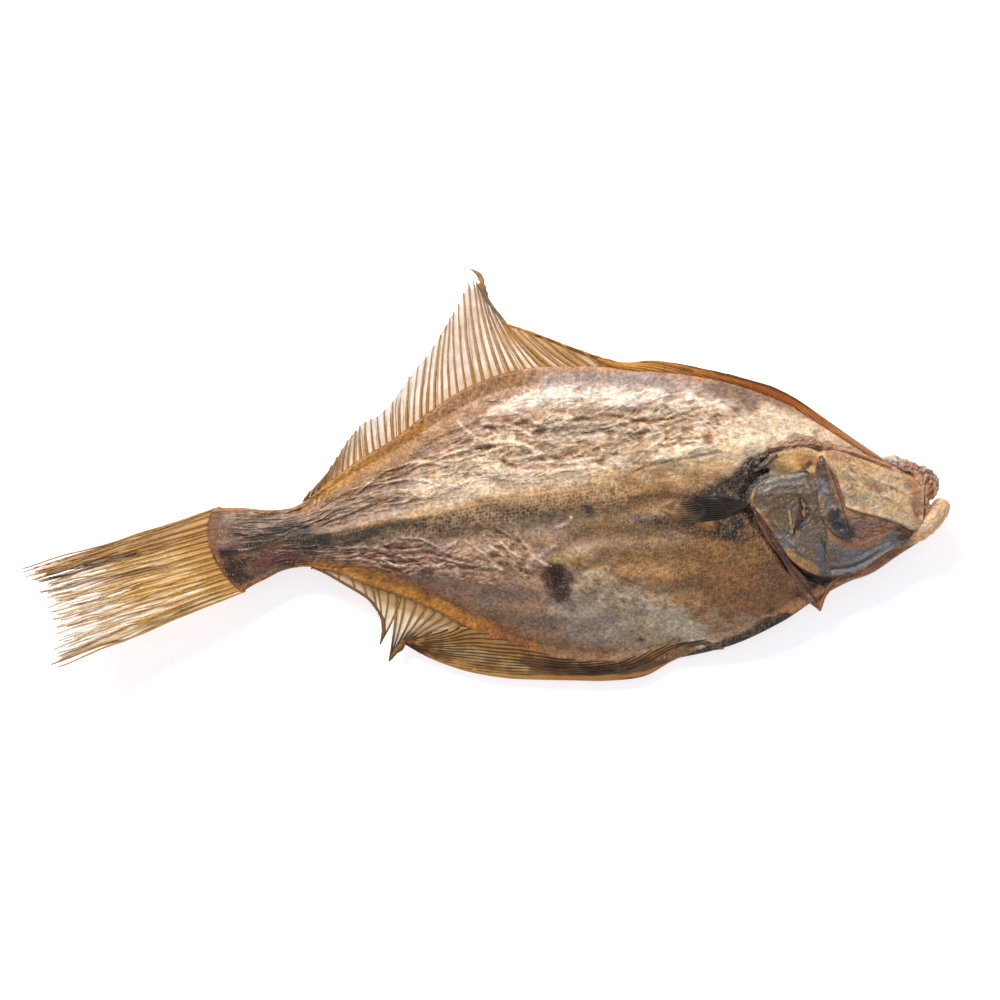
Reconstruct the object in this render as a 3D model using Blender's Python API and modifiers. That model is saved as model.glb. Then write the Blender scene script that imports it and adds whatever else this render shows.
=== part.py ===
"""A dried flounder, lying on its eyed side with the blind side up.

Run with: blender --background --python part.py

Metres, +Z up. +X points to the mouth, +Y to the back fin. The origin is on the flat spot of the
eyed side that the fish rests on. Outlines are lists of places in millimetres, seen from above.
"""

import math
from collections import namedtuple

import bmesh
import bpy
from mathutils import Vector
from mathutils.bvhtree import BVHTree

MM = 0.001
SKIN_COLOUR, SKIN_ROUGHNESS = (0.42, 0.27, 0.15, 1.0), 0.55
SHARP_ANGLE = 40  # edges that turn more than this many degrees are shaded sharp
CAST_FROM = 100  # the skin's height is looked up from this far above or below the table
WELD = 0.02  # points of a strand that are nearer than this are made one

# The body is lofted through ribs, which join its back edge to its belly edge from the tail root to
# the jaws. A rib's swell is the flesh's thickness to each side of the middle plane.
Rib = namedtuple("Rib", "back belly swell")
RIBS = (
    Rib((-81.9, -9.6), (-72.9, -34.8), 1.7),
    Rib((-78.3, -9.5), (-70.2, -33.0), 2.3),
    Rib((-72.3, -9.6), (-66.0, -30.9), 3.0),
    Rib((-65.4, -10.2), (-61.2, -28.5), 3.6),
    Rib((-58.8, -9.6), (-55.8, -27.3), 4.1),
    Rib((-54.0, -7.2), (-51.0, -27.6), 4.5),
    Rib((-46.8, -1.2), (-43.8, -29.4), 4.9),
    Rib((-37.8, 5.1), (-34.8, -33.3), 5.5),
    Rib((-27.9, 11.1), (-25.2, -36.6), 6.1),
    Rib((-16.8, 19.5), (-14.4, -41.1), 6.9),
    Rib((-4.8, 27.0), (-3.3, -47.4), 7.6),
    Rib((9.3, 31.8), (10.2, -53.7), 8.1),
    Rib((24.9, 33.0), (25.2, -57.3), 8.4),
    Rib((41.7, 32.6), (40.8, -58.2), 8.6),
    Rib((58.2, 31.2), (56.7, -55.2), 8.6),
    Rib((74.7, 27.9), (73.8, -51.0), 8.5),
    Rib((89.7, 22.2), (88.8, -43.8), 8.2),
    Rib((98.7, 16.5), (98.7, -37.2), 7.8),
    Rib((107.7, 10.8), (108.0, -32.1), 7.2),
    Rib((115.2, 6.3), (115.8, -29.1), 6.3),
    Rib((122.7, 4.5), (123.3, -24.0), 5.0),
    Rib((128.4, 2.1), (128.4, -20.7), 4.0),
    Rib((132.3, -1.2), (131.4, -18.6), 3.0),
)
RINGS = 56
TOP_FACES, UNDER_FACES = 24, 12  # round one ring, on the blind side and on the eyed side
TAIL_BULGE, TAIL_BULGE_SHARE = 5.0, 0.125  # the tail root's end is an arc, over this share of the rings

# The middle plane lies this high at the flat spot. It rises with the square of the distance past a
# place, towards the tail, the head and both edges, and it sags to the table along the belly's edge.
MIDDLE_HEIGHT = 7.0
Rise = namedtuple("Rise", "start reach height")
TAIL_RISE, HEAD_RISE = Rise(-20, 120, 7.0), Rise(60, 75, 2.2)
EDGE_RISE = Rise(-10, 55, 1.4)
BELLY_SAG = Rise(-22, 34, 5.2)
BELLY_SAG_ENDS, BELLY_SAG_FADE = (-62, 96), 40

MARGIN_HALF = 1.2  # half thickness of the thin band along the edges, where the fin rays are rooted
MARGIN_WIDTH = 5.0
MARGIN_MOST_HALF, MARGIN_MOST_WIDTH = 0.75, 0.16  # its limits, as shares of the swell and half width
FLESH_SLOPE, FLESH_ROUNDNESS = 0.62, 2.2  # the flesh is full this share of the half width further in
CREST = (
    (-80, -20.7), (-56, -19.2), (-26, -13.2), (4, -7.8),
    (34, -3.3), (64, 7.2), (95, 11.5), (132, -8),
)
CREST_HEIGHT, CREST_WIDTH, CREST_END = 0.9, 2.6, 112
FURROW_DEPTH, FURROW_REACH, FURROW_WIDTH = 0.9, 11.0, 5.0  # sunken flesh beside the backbone
FOLD_HEIGHT, FOLD_SPACING, FOLD_END = 0.45, 8.5, 85  # long folds of the skin over the flesh
FOLD_WANDER = ((2.4, 11.0, 0.0), (1.2, 4.7, 0.11))  # sways: height, pace along x, slant along y
RELIEF_FADE = 30  # the crest and the folds fade out over this length
RELIEF_INSET, RELIEF_EASE = 5, 8  # the relief starts this far in from the edges
FULL_SWELL = 8  # thinner flesh has a lower relief

RAY_THICK, WEB_THICK = 1.3, 0.6
RAY_TAPER = 0.35  # share of a ray's thickness that is lost by its tip
FIN_ROOT = 2.5  # how far a fin runs into the body
WEB_NOTCH = 0.6  # the web ends this share of the fin's raggedness short of its outline
JUT_LEVEL, JUT_SWING, JUT_PACE = 0.6, 0.4, 2.3  # a ray's jut: middle, sway and pace of its wave

Fin = namedtuple("Fin", "name rays rows base tips bow lift ragged")
FINS = (
    Fin(
        "back_fin", 37, 4,
        base=((-54.6, -7.0), (-49.2, -3.0), (-43.2, 1.5), (-36.5, 6.0), (-29.8, 10.9), (-22.6, 15.8),
              (-15.2, 21.9), (-7.3, 26.9), (1.6, 31.5), (10.6, 33.0), (19.5, 33.3), (30.5, 33.3),
              (41.7, 32.1)),
        tips=((-54.3, -6.0), (-47.1, 1.8), (-41.6, 10.7), (-37.1, 15.8), (-30.5, 19.8), (-21.6, 31.2),
              (-13.7, 42.2), (-9.0, 50.8), (-3.8, 58.6), (-0.7, 55.5), (4.5, 46.8), (6.0, 45.9),
              (7.8, 45.3)),
        bow=0.025, lift=1.5, ragged=0.7,
    ),
    Fin(
        "belly_fin_rear", 9, 4,
        base=((-52, -27.2), (-46, -28.6), (-40, -31), (-35, -33.2), (-31.9, -34.5), (-26, -36.8)),
        tips=((-52.4, -28.0), (-46, -30.6), (-38.4, -34.9), (-33.4, -39.8), (-31.2, -44), (-31.6, -50)),
        bow=0.03, lift=0.6, ragged=0.4,
    ),
    Fin(
        "belly_fin_middle", 9, 4,
        base=((-27.2, -36.3), (-21.5, -38.7), (-15.8, -40.7), (-10.4, -43.2), (-5.6, -45.9)),
        tips=((-29.4, -54.8), (-28, -53), (-26.6, -51), (-25.6, -50), (-24.6, -49.4)),
        bow=0.03, lift=0.6, ragged=0.3,
    ),
    Fin(
        "belly_fin_folded", 14, 4,
        base=((-5, -46), (1, -49), (10, -53.3), (19, -56), (28, -57.5), (38, -58), (47, -56.8),
              (56, -54.6), (66, -52.2)),
        tips=((-24.5, -50), (-19, -53), (-12, -56.5), (-2, -59.5), (10, -61.4), (22, -62),
              (35, -62), (46, -60.6), (58, -56.4)),
        bow=0.03, lift=1.4, ragged=0.25,
    ),
    Fin(
        "tail_fin", 17, 6,
        base=((-80.7, -9.8), (-82.0, -14.9), (-82.5, -19.5), (-82.0, -24.1), (-80.2, -28.7),
              (-77.0, -32.3), (-73.8, -35.1)),
        tips=((-138.9, -29.4), (-136.4, -30.2), (-133.8, -31.4), (-133.4, -34.6), (-132.6, -38.2),
              (-130.2, -42.6), (-129.8, -47.2), (-129.3, -52.2), (-130.8, -57)),
        bow=0.0, lift=0.0, ragged=1.4,
    ),
)
TAIL_TWIST = 5.0  # the tail's lower lobe stands this much higher than its upper lobe

# Raised plates of the head, each a closed outline, with its height above the skin at the middle
# and at the rim.
Plate = namedtuple("Plate", "name outline middle rim")
PLATES = (
    Plate(
        "gill_cover",
        ((78, 1.5), (79, -8), (82.5, -14), (86, -19), (90.5, -24.5), (97, -28.8), (104, -30.2),
         (109.5, -29), (108.5, -21), (105, -14), (101.5, -5), (97.5, 3.5), (89, 6.2), (82, 5.4)),
        middle=0.5, rim=1.5,
    ),
    Plate(
        "cheek_blade",
        ((99, 6.2), (101.4, 5.2), (104.6, -5.4), (107, -12), (108.6, -18.4), (104.6, -17.6),
         (101, -13), (98.6, -4)),
        middle=2.4, rim=1.2,
    ),
    Plate(
        "jaw_plate",
        ((107, -18.4), (113.6, -19.6), (120, -17.4), (126, -15.6), (128.4, -18.2), (123, -23.4),
         (117.4, -27.2), (110.6, -30), (104.5, -30.6), (103.6, -25)),
        middle=1.5, rim=1.0,
    ),
)
PLATE_SINK = 2.0  # how far a plate reaches into the flesh
PLATE_EDGE = 0.4  # share of the flattened ball's height that makes the plate's steep edge
PLATE_FACES, EYE_FACES = (22, 8), (14, 8)  # round the ball and over it
EYES = ((109.5, -2.0), (118.5, -3.5))  # both eyes are on the side that the fish lies on
EYE_RADIUS, EYE_HEIGHT = 4.3, 1.9
EYE_CLEARANCE = 0.1  # the eyes stay this high above the table

# Tapered ridges and lips: a path of (x, y, height above the skin) and a radius at each place.
Strand = namedtuple("Strand", "name path radii")
STRANDS = (
    Strand("gill_slit_rim",
           ((77.3, 3.4, 0), (78.3, -8, 0.2), (84.6, -21, 0.3), (91.4, -27.6, 0.3),
            (95.6, -33, -0.5), (100.2, -40.4, -3.5)),
           (0.7, 1.2, 1.5, 1.7, 2.2, 0.4)),
    Strand("crown_fold",
           ((82, 6, -0.2), (89, 11.6, -0.2), (98, 10, -0.2), (108, 8, -0.2), (118, 5, 0), (126, 1.6, 0)),
           (0.8, 1.5, 1.5, 1.3, 1.3, 1.0)),
    Strand("upper_lip",
           ((121, 4.0, -1.2), (126.5, 2.6, -0.8), (131.5, 0.8, -0.8), (134.2, -1.8, -1.0),
            (133, -5, -1.4), (131.4, -9, -1.2)),
           (1.0, 1.9, 2.1, 2.0, 1.7, 1.2)),
    Strand("lower_jaw",
           ((122, -22.6, -1.6), (128.5, -19.4, -1.2), (133.2, -15.6, -1.2),
            (137, -10.8, -1.2), (137.8, -8.4, -1.4)),
           (1.2, 2.6, 2.9, 2.5, 1.4)),
    Strand("breast_spike",
           ((70, -52, -1), (80, -47.5, 0), (92, -41.5, -1), (100, -40.3, -2.4)),
           (0.5, 1.4, 1.8, 0.4)),
)
STRAND_SIDES = 2  # bevel resolution: eight sides
STRAND_STEPS = 3  # between two places of its path

# Strands of the back fin, whose heights are above the middle plane.
FIN_STRANDS = (
    Strand("folded_front",
           ((34, 33.2, 0), (46.2, 33.4, 0), (60, 32.2, 0), (75, 29.2, 0), (87, 24.9, 0), (100, 17.4, 0),
            (109, 11.4, 0), (118.6, 5.8, 0)),
           (0.5, 1.1, 1.4, 1.5, 1.6, 1.4, 1.2, 0.6)),
    Strand("fin_hook", ((-0.4, 54.4, 1.3), (-1.4, 59.0, 1.4), (-4.8, 62.1, 1.4)), (0.7, 0.9, 0.3)),
)
# The arm fin is a paddle between two edges, which run from its root to its tip.
ARM_FIN_UPPER = ((77.9, -8.0), (75.5, -7.3), (71, -6.0), (65, -5.8), (59, -6.2), (53.5, -7.5), (49.6, -9.2))
ARM_FIN_LOWER = (
    (77.9, -9.6), (74.5, -11.6), (70.4, -13.3), (65, -14.3), (59.5, -14.8), (55, -13.3), (52.6, -11.2),
)
ARM_FIN_RAYS, ARM_FIN_ROWS = 7, 7
ARM_FIN_LIFT, ARM_FIN_THICK, ARM_FIN_RIDGE = 0.1, 1.4, 0.2


def smoothstep(value):
    """Ease from 0 to 1."""
    value = min(max(value, 0.0), 1.0)
    return value * value * (3 - 2 * value)


def along(points, share):
    """The place at a share (0 to 1) of the way through the points, on a smooth curve through them all."""
    position = min(max(share, 0.0), 1.0) * (len(points) - 1)
    first = min(int(position), len(points) - 2)
    t = position - first
    before, start, end, after = (points[min(max(first + k, 0), len(points) - 1)] for k in (-1, 0, 1, 2))
    return [
        b + 0.5 * t * (c - a + t * (2 * a - 5 * b + 4 * c - d + t * (3 * (b - c) + d - a)))
        for a, b, c, d in zip(before, start, end, after)
    ]


def crest_at(x):
    """The y of the ridge over the backbone."""
    for (x0, y0), (x1, y1) in zip(CREST, CREST[1:]):
        if x <= x1:
            return y0 + (y1 - y0) * smoothstep((x - x0) / (x1 - x0))
    return CREST[-1][1]


def middle_height(x, y):
    """Height of the fish's warped middle plane."""
    tail = TAIL_RISE.height * max(0.0, (TAIL_RISE.start - x) / TAIL_RISE.reach) ** 2
    head = HEAD_RISE.height * max(0.0, (x - HEAD_RISE.start) / HEAD_RISE.reach) ** 2
    edge = EDGE_RISE.height * ((y - EDGE_RISE.start) / EDGE_RISE.reach) ** 2
    rear, front = BELLY_SAG_ENDS
    ends = smoothstep((x - rear) / BELLY_SAG_FADE) * smoothstep((front - x) / BELLY_SAG_FADE)
    sag = BELLY_SAG.height * smoothstep((BELLY_SAG.start - y) / BELLY_SAG.reach) * ends
    return MIDDLE_HEIGHT + tail + head + edge - sag


def flesh_height(reach, half_width, swell):
    """Thickness of the flesh over the middle plane, at a distance (reach) in from the nearer edge."""
    rounding = math.sqrt(1 - (1 - min(reach / MARGIN_HALF, 1.0)) ** 2)
    margin = min(MARGIN_HALF, MARGIN_MOST_HALF * swell)
    band = min(MARGIN_WIDTH, MARGIN_MOST_WIDTH * half_width)
    rise = min(max((reach - band) / (FLESH_SLOPE * half_width), 0.0), 1.0)
    return margin * rounding + (swell - margin) * (1 - (1 - rise) ** FLESH_ROUNDNESS)


def skin_relief(x, y, reach, swell):
    """The backbone's crest, the furrows beside it and the long folds of the blind side."""
    aside = y - crest_at(x)
    inner = smoothstep((reach - RELIEF_INSET) / RELIEF_EASE)
    crest = CREST_HEIGHT * math.exp(-((aside / CREST_WIDTH) ** 2)) * smoothstep((CREST_END - x) / RELIEF_FADE)
    furrow = FURROW_DEPTH * math.exp(-(((abs(aside) - FURROW_REACH) / FURROW_WIDTH) ** 2)) * inner
    wander = sum(height * math.sin(x / pace + slant * y) for height, pace, slant in FOLD_WANDER)
    fold = FOLD_HEIGHT * math.sin(math.tau * (y + wander) / FOLD_SPACING) * inner
    return (crest - furrow + fold * smoothstep((FOLD_END - x) / RELIEF_FADE)) * min(1.0, swell / FULL_SWELL)


def body_point(share, turn):
    """A place on the body's skin: share runs from tail root to jaws, turn once round the rib."""
    x_back, y_back = along([rib.back for rib in RIBS], share)
    x_belly, y_belly = along([rib.belly for rib in RIBS], share)
    (swell,) = along([(rib.swell,) for rib in RIBS], share)
    across = (1 + math.cos(math.tau * turn)) / 2
    bulge = TAIL_BULGE * 4 * across * (1 - across) * (1 - smoothstep(share / TAIL_BULGE_SHARE))
    x = x_belly + (x_back - x_belly) * across - bulge
    y = y_belly + (y_back - y_belly) * across
    half_width = math.dist((x_back, y_back), (x_belly, y_belly)) / 2
    reach = 2 * half_width * min(across, 1 - across)
    height = flesh_height(reach, half_width, swell)
    if turn < 0.5:
        return x, y, middle_height(x, y) + height + skin_relief(x, y, reach, swell)
    return x, y, max(middle_height(x, y) - height, 0.0)


def face_outwards(form):
    """Turn the faces of a closed form round where its mapping has turned it inside out."""
    if form.calc_volume(signed=True) < 0:
        bmesh.ops.reverse_faces(form, faces=form.faces)


def build_body():
    """The body and head as one closed skin: a sphere whose rings become the ribs."""
    around = TOP_FACES + UNDER_FACES
    form = bmesh.new()
    bmesh.ops.create_uvsphere(form, u_segments=around, v_segments=RINGS + 1, radius=1.0)
    for vertex in form.verts:
        direction = vertex.co.normalized()
        ring = round(math.acos(-direction.z) / math.pi * (RINGS + 1))
        step = round(math.atan2(direction.y, direction.x) / math.tau * around) % around
        turn = step / TOP_FACES / 2 if step <= TOP_FACES else 0.5 + (step - TOP_FACES) / UNDER_FACES / 2
        share = min(max(ring - 1, 0), RINGS - 1) / (RINGS - 1)
        place = Vector(body_point(share, turn))
        if ring in (0, RINGS + 1):
            upper, lower = Vector(body_point(share, 0.25)), Vector(body_point(share, 0.75))
            place = (upper + lower) / 2
        vertex.co = place * MM
    face_outwards(form)
    return form


def add_object(name, form, collection, material):
    """An object made from a bmesh, shaded smooth, in a collection."""
    mesh = bpy.data.meshes.new(name)
    form.to_mesh(mesh)
    form.free()
    mesh.materials.append(material)
    mesh.shade_smooth()
    made = bpy.data.objects.new(name, mesh)
    collection.objects.link(made)
    return made


def skin_height(skin, x, y, side=1):
    """Height of the skin above or (side -1) below a place, from the body's own surface."""
    start = Vector((x, y, side * CAST_FROM)) * MM
    hit = skin.ray_cast(start, Vector((0, 0, -side)))[0]
    return hit.z / MM if hit else middle_height(x, y)


def fin_place(fin, across, out):
    """A place on a fin's sheet, from its root (out 0) along a bowed ray to its tip (out 1)."""
    x_base, y_base = along(fin.base, across)
    x_tip, y_tip = along(fin.tips, across)
    length = math.dist((x_base, y_base), (x_tip, y_tip))
    root = -min(FIN_ROOT / max(length, FIN_ROOT), 1.0)
    run = root + (1 - root) * out
    bow = fin.bow * length * math.sin(math.pi * max(run, 0.0))
    x = x_base + (x_tip - x_base) * run - (y_tip - y_base) / max(length, 1) * bow
    y = y_base + (y_tip - y_base) * run + (x_tip - x_base) / max(length, 1) * bow
    height = middle_height(x, y) + fin.lift * max(run, 0.0) ** 2
    if fin.name == "tail_fin":
        height += TAIL_TWIST * (across - 0.5) * max(run, 0.0)
    return x, y, height


def build_fin(fin, collection, material):
    """A fin as a thin sheet with a ridge on each ray, and rays that outreach the web between them."""
    columns = 2 * fin.rays
    form = bmesh.new()
    bmesh.ops.create_grid(form, x_segments=columns, y_segments=fin.rows, size=0.5)
    ridges = []
    for vertex in form.verts:
        column = round((vertex.co.x + 0.5) * columns)
        out = vertex.co.y + 0.5
        is_ray = column % 2 == 1
        x, y, z = fin_place(fin, column / columns, out)
        if round(out * fin.rows) == fin.rows:
            wave = JUT_LEVEL + JUT_SWING * math.sin(JUT_PACE * column)
            jut = fin.ragged * (1 if is_ray else -WEB_NOTCH) * wave
            x_root, y_root, _ = fin_place(fin, column / columns, 0.5)
            length = max(math.dist((x, y), (x_root, y_root)), 1.0)
            x += (x - x_root) / length * jut
            y += (y - y_root) / length * jut
        ridges.append(1.0 - RAY_TAPER * out if is_ray else WEB_THICK / RAY_THICK)
        vertex.co = Vector((x, y, z)) * MM
    made = add_object(fin.name, form, collection, material)
    thickness = made.vertex_groups.new(name="thickness")
    for index, weight in enumerate(ridges):
        thickness.add([index], weight, "REPLACE")
    shell = made.modifiers.new("thickness", "SOLIDIFY")
    shell.thickness = RAY_THICK * MM
    shell.offset = 0.0
    shell.vertex_group = thickness.name
    return made


def build_plate(plate, skin, collection, material):
    """A raised bony plate: a flattened ball spread over its outline and laid on the skin."""
    centre = [sum(values) / len(plate.outline) for values in zip(*plate.outline)]
    closed = plate.outline + plate.outline[:1]
    form = bmesh.new()
    bmesh.ops.create_uvsphere(form, u_segments=PLATE_FACES[0], v_segments=PLATE_FACES[1], radius=1.0)
    for vertex in form.verts:
        turn = (math.atan2(vertex.co.y, vertex.co.x) / math.tau) % 1.0
        spread = math.hypot(vertex.co.x, vertex.co.y)
        x_rim, y_rim = along(closed, turn)
        x = centre[0] + (x_rim - centre[0]) * spread
        y = centre[1] + (y_rim - centre[1]) * spread
        height = plate.middle + (plate.rim - plate.middle) * spread**2
        ball_height = vertex.co.z
        rise = height * min(1.0, ball_height / PLATE_EDGE) if ball_height > 0 else PLATE_SINK * ball_height
        vertex.co = Vector((x, y, skin_height(skin, x, y) + rise)) * MM
    face_outwards(form)
    return add_object(plate.name, form, collection, material)


def build_eye(place, skin, collection, material):
    """A low dome on the eyed side."""
    form = bmesh.new()
    bmesh.ops.create_uvsphere(form, u_segments=EYE_FACES[0], v_segments=EYE_FACES[1], radius=1.0)
    x, y = place
    bottom = skin_height(skin, x, y, side=-1)
    for vertex in form.verts:
        ball = vertex.co.copy()
        height = max(bottom + ball.z * EYE_HEIGHT, EYE_CLEARANCE)
        vertex.co = Vector((x + ball.x * EYE_RADIUS, y + ball.y * EYE_RADIUS, height)) * MM
    face_outwards(form)
    return add_object("eye", form, collection, material)


def build_strand(name, path, radii, collection, material):
    """A tapered ridge: a bevelled curve made a mesh, with its end caps welded on."""
    curve = bpy.data.curves.new(name, "CURVE")
    curve.dimensions = "3D"
    curve.bevel_depth = MM
    curve.bevel_resolution = STRAND_SIDES
    curve.use_fill_caps = True
    spline = curve.splines.new("POLY")
    steps = STRAND_STEPS * (len(path) - 1)
    spline.points.add(steps)
    for index, point in enumerate(spline.points):
        share = index / steps
        point.co = (*(value * MM for value in along(path, share)), 1.0)
        (point.radius,) = along([(radius,) for radius in radii], share)
    guide = bpy.data.objects.new(name + "_curve", curve)
    collection.objects.link(guide)
    bpy.context.view_layer.update()
    evaluated = guide.evaluated_get(bpy.context.evaluated_depsgraph_get())
    mesh = bpy.data.meshes.new_from_object(evaluated)
    form = bmesh.new()
    form.from_mesh(mesh)
    bmesh.ops.remove_doubles(form, verts=form.verts, dist=WELD * MM)
    face_outwards(form)
    bpy.data.objects.remove(guide)
    bpy.data.meshes.remove(mesh)
    return add_object(name, form, collection, material)


def build_arm_fin(skin, collection, material):
    """The small fin behind the gill slit, folded flat on the skin, with a ridge on each ray."""
    columns = 2 * ARM_FIN_RAYS
    form = bmesh.new()
    bmesh.ops.create_grid(form, x_segments=columns, y_segments=ARM_FIN_ROWS, size=0.5)
    for vertex in form.verts:
        across, out = vertex.co.x + 0.5, vertex.co.y + 0.5
        ridge = ARM_FIN_RIDGE * (1 if round(across * columns) % 2 else -1)
        x_upper, y_upper = along(ARM_FIN_UPPER, out)
        x_lower, y_lower = along(ARM_FIN_LOWER, out)
        x, y = x_upper + (x_lower - x_upper) * across, y_upper + (y_lower - y_upper) * across
        vertex.co = Vector((x, y, skin_height(skin, x, y) + ARM_FIN_LIFT + ridge)) * MM
    made = add_object("arm_fin", form, collection, material)
    shell = made.modifiers.new("thickness", "SOLIDIFY")
    shell.thickness = ARM_FIN_THICK * MM
    shell.offset = 0.0
    return made


def skin_material():
    """Dried skin: tan brown and a little glossy."""
    material = bpy.data.materials.new("dried_skin")
    material.use_nodes = True
    shader = material.node_tree.nodes["Principled BSDF"]
    shader.inputs["Base Color"].default_value = SKIN_COLOUR
    shader.inputs["Roughness"].default_value = SKIN_ROUGHNESS
    shader.inputs["Metallic"].default_value = 0.0
    material.diffuse_color = SKIN_COLOUR
    return material


def keep_outer_skin(mesh):
    """Drop the faces round any hollow that the union sealed, and any loose scrap."""
    form = bmesh.new()
    form.from_mesh(mesh)
    islands, unseen = [], set(form.verts)
    while unseen:
        island, edge = set(), [unseen.pop()]
        while edge:
            vertex = edge.pop()
            island.add(vertex)
            near = {link.other_vert(vertex) for link in vertex.link_edges} & unseen
            unseen -= near
            edge.extend(near)
        islands.append(island)
    islands.sort(key=len)
    scraps = [vertex for island in islands[:-1] for vertex in island]
    bmesh.ops.delete(form, geom=scraps, context="VERTS")
    form.to_mesh(mesh)
    form.free()


def fuse(body, pieces):
    """Join the pieces to the body with one Boolean union, apply it, and remove the pieces."""
    union = body.modifiers.new("union", "BOOLEAN")
    union.operation = "UNION"
    union.operand_type = "COLLECTION"
    union.collection = pieces
    union.solver = "MANIFOLD"
    bpy.context.view_layer.update()
    evaluated = body.evaluated_get(bpy.context.evaluated_depsgraph_get())
    fused = bpy.data.meshes.new_from_object(evaluated)
    keep_outer_skin(fused)
    body.modifiers.remove(union)
    body.data = fused
    fused.set_sharp_from_angle(angle=math.radians(SHARP_ANGLE))
    for piece in list(pieces.objects):
        bpy.data.objects.remove(piece)
    bpy.data.collections.remove(pieces)


def main():
    """Build the fish and leave it as one object."""
    for old in list(bpy.data.objects):
        bpy.data.objects.remove(old)
    fish = bpy.data.collections.new("dried_flounder")
    pieces = bpy.data.collections.new("pieces")
    for collection in (fish, pieces):
        bpy.context.scene.collection.children.link(collection)
    material = skin_material()

    form = build_body()
    skin = BVHTree.FromBMesh(form)
    body = add_object("flounder", form, fish, material)
    for fin in FINS:
        build_fin(fin, pieces, material)
    build_arm_fin(skin, pieces, material)
    for plate in PLATES:
        build_plate(plate, skin, pieces, material)
    for eye in EYES:
        build_eye(eye, skin, pieces, material)
    for strand in STRANDS:
        path = [(x, y, skin_height(skin, x, y) + lift) for x, y, lift in strand.path]
        build_strand(strand.name, path, strand.radii, pieces, material)
    for strand in FIN_STRANDS:
        path = [(x, y, middle_height(x, y) + lift) for x, y, lift in strand.path]
        build_strand(strand.name, path, strand.radii, pieces, material)
    fuse(body, pieces)


main()
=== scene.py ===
"""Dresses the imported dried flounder: its shrivelled skin, bony head, brittle fins and scales.

The fish lies on its eyed side. Places are in millimetres seen from above, +X to the mouth and +Y to
the back fin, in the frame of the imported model; meshes are written in metres.

Curves, stains and creases are written as rows of words. A word with commas is one place of a curve: x, y
and what belongs to it, which is its half width where nothing else is said. Before its places a stain has
its name, colour, strength, softness and raggedness, and a crease its height. A row that begins with two
blanks goes on from the one above, and a row that begins with # says what follows.
"""

from __future__ import annotations

import logging
import math
from dataclasses import dataclass, field
from enum import Enum
from functools import partial
from typing import Any, Iterable

import bpy
import numpy as np
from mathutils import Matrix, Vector
from mathutils.bvhtree import BVHTree

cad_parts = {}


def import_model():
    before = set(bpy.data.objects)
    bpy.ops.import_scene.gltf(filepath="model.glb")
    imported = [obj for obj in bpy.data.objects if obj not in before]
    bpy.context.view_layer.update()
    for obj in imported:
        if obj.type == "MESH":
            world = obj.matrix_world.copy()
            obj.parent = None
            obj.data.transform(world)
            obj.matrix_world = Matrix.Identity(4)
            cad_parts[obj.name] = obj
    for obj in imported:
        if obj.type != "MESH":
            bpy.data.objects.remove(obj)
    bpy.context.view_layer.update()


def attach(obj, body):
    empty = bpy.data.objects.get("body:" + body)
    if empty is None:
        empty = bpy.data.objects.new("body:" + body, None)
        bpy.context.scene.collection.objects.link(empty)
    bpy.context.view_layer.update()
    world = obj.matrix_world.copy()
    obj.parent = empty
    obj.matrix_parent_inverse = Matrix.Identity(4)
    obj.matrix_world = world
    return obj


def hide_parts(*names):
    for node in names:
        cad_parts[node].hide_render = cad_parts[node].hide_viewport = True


LOG = logging.getLogger("dried_flounder")
MM = 0.001
BODY = "root"
NODE = "flounder"

Array = np.ndarray
Material = bpy.types.Material
NodeTree = bpy.types.NodeTree
Object = bpy.types.Object
Place = tuple[float, float]


class Side(Enum):
    """The two flanks of a flatfish."""

    BLIND = 1
    EYED = -1


class Slot(Enum):
    """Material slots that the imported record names."""

    SKIN = "dried_skin"
    RAYS = "fin_rays"
    WEB = "fin_web"
    BONE = "head_bone"
    EYE = "dried_eye"


class Coat(Enum):
    """How a coat of colour lies on what is below it."""

    COVER = "MIX"
    TINT = "MULTIPLY"


# ------------ colours, curves and noise


def to_linear(code: str) -> Array:
    """Turn an sRGB hex colour into linear light.

    Args:
        code: A colour such as "#c9a77f".

    Returns:
        Three numbers from 0 to 1.
    """
    srgb = np.array([int(code[start : start + 2], 16) / 255 for start in (1, 3, 5)])
    return np.where(srgb <= 0.04045, srgb / 12.92, ((srgb + 0.055) / 1.055) ** 2.4)


def rgba(code: str) -> tuple[float, ...]:
    """The linear colour of a hex code with an alpha of 1, as a shader socket takes it."""
    return (*to_linear(code).tolist(), 1.0)


def ease(value: Array) -> Array:
    """Smooth step from 0 to 1."""
    value = np.clip(value, 0.0, 1.0)
    return value * value * (3 - 2 * value)


def route(text: str) -> Route:
    """A curve from its places, written as words such as "12,3.5,0.8"."""
    return Route(np.array([[float(number) for number in word.split(",")] for word in text.split()]))


def read_rows(text: str) -> list[tuple[list[str], Route]]:
    """Split rows of text into their plain words and their curve.

    Args:
        text: The rows, as the note at the top of this file says.

    Returns:
        For each row the words before its places, and the curve through them.
    """
    found = []
    for row in text.strip().replace("\n  ", " ").splitlines():
        if not row.startswith("#"):
            words = row.split()
            plain = [word for word in words if "," not in word]
            found.append((plain, route(" ".join(words[len(plain) :]))))
    return found


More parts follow.
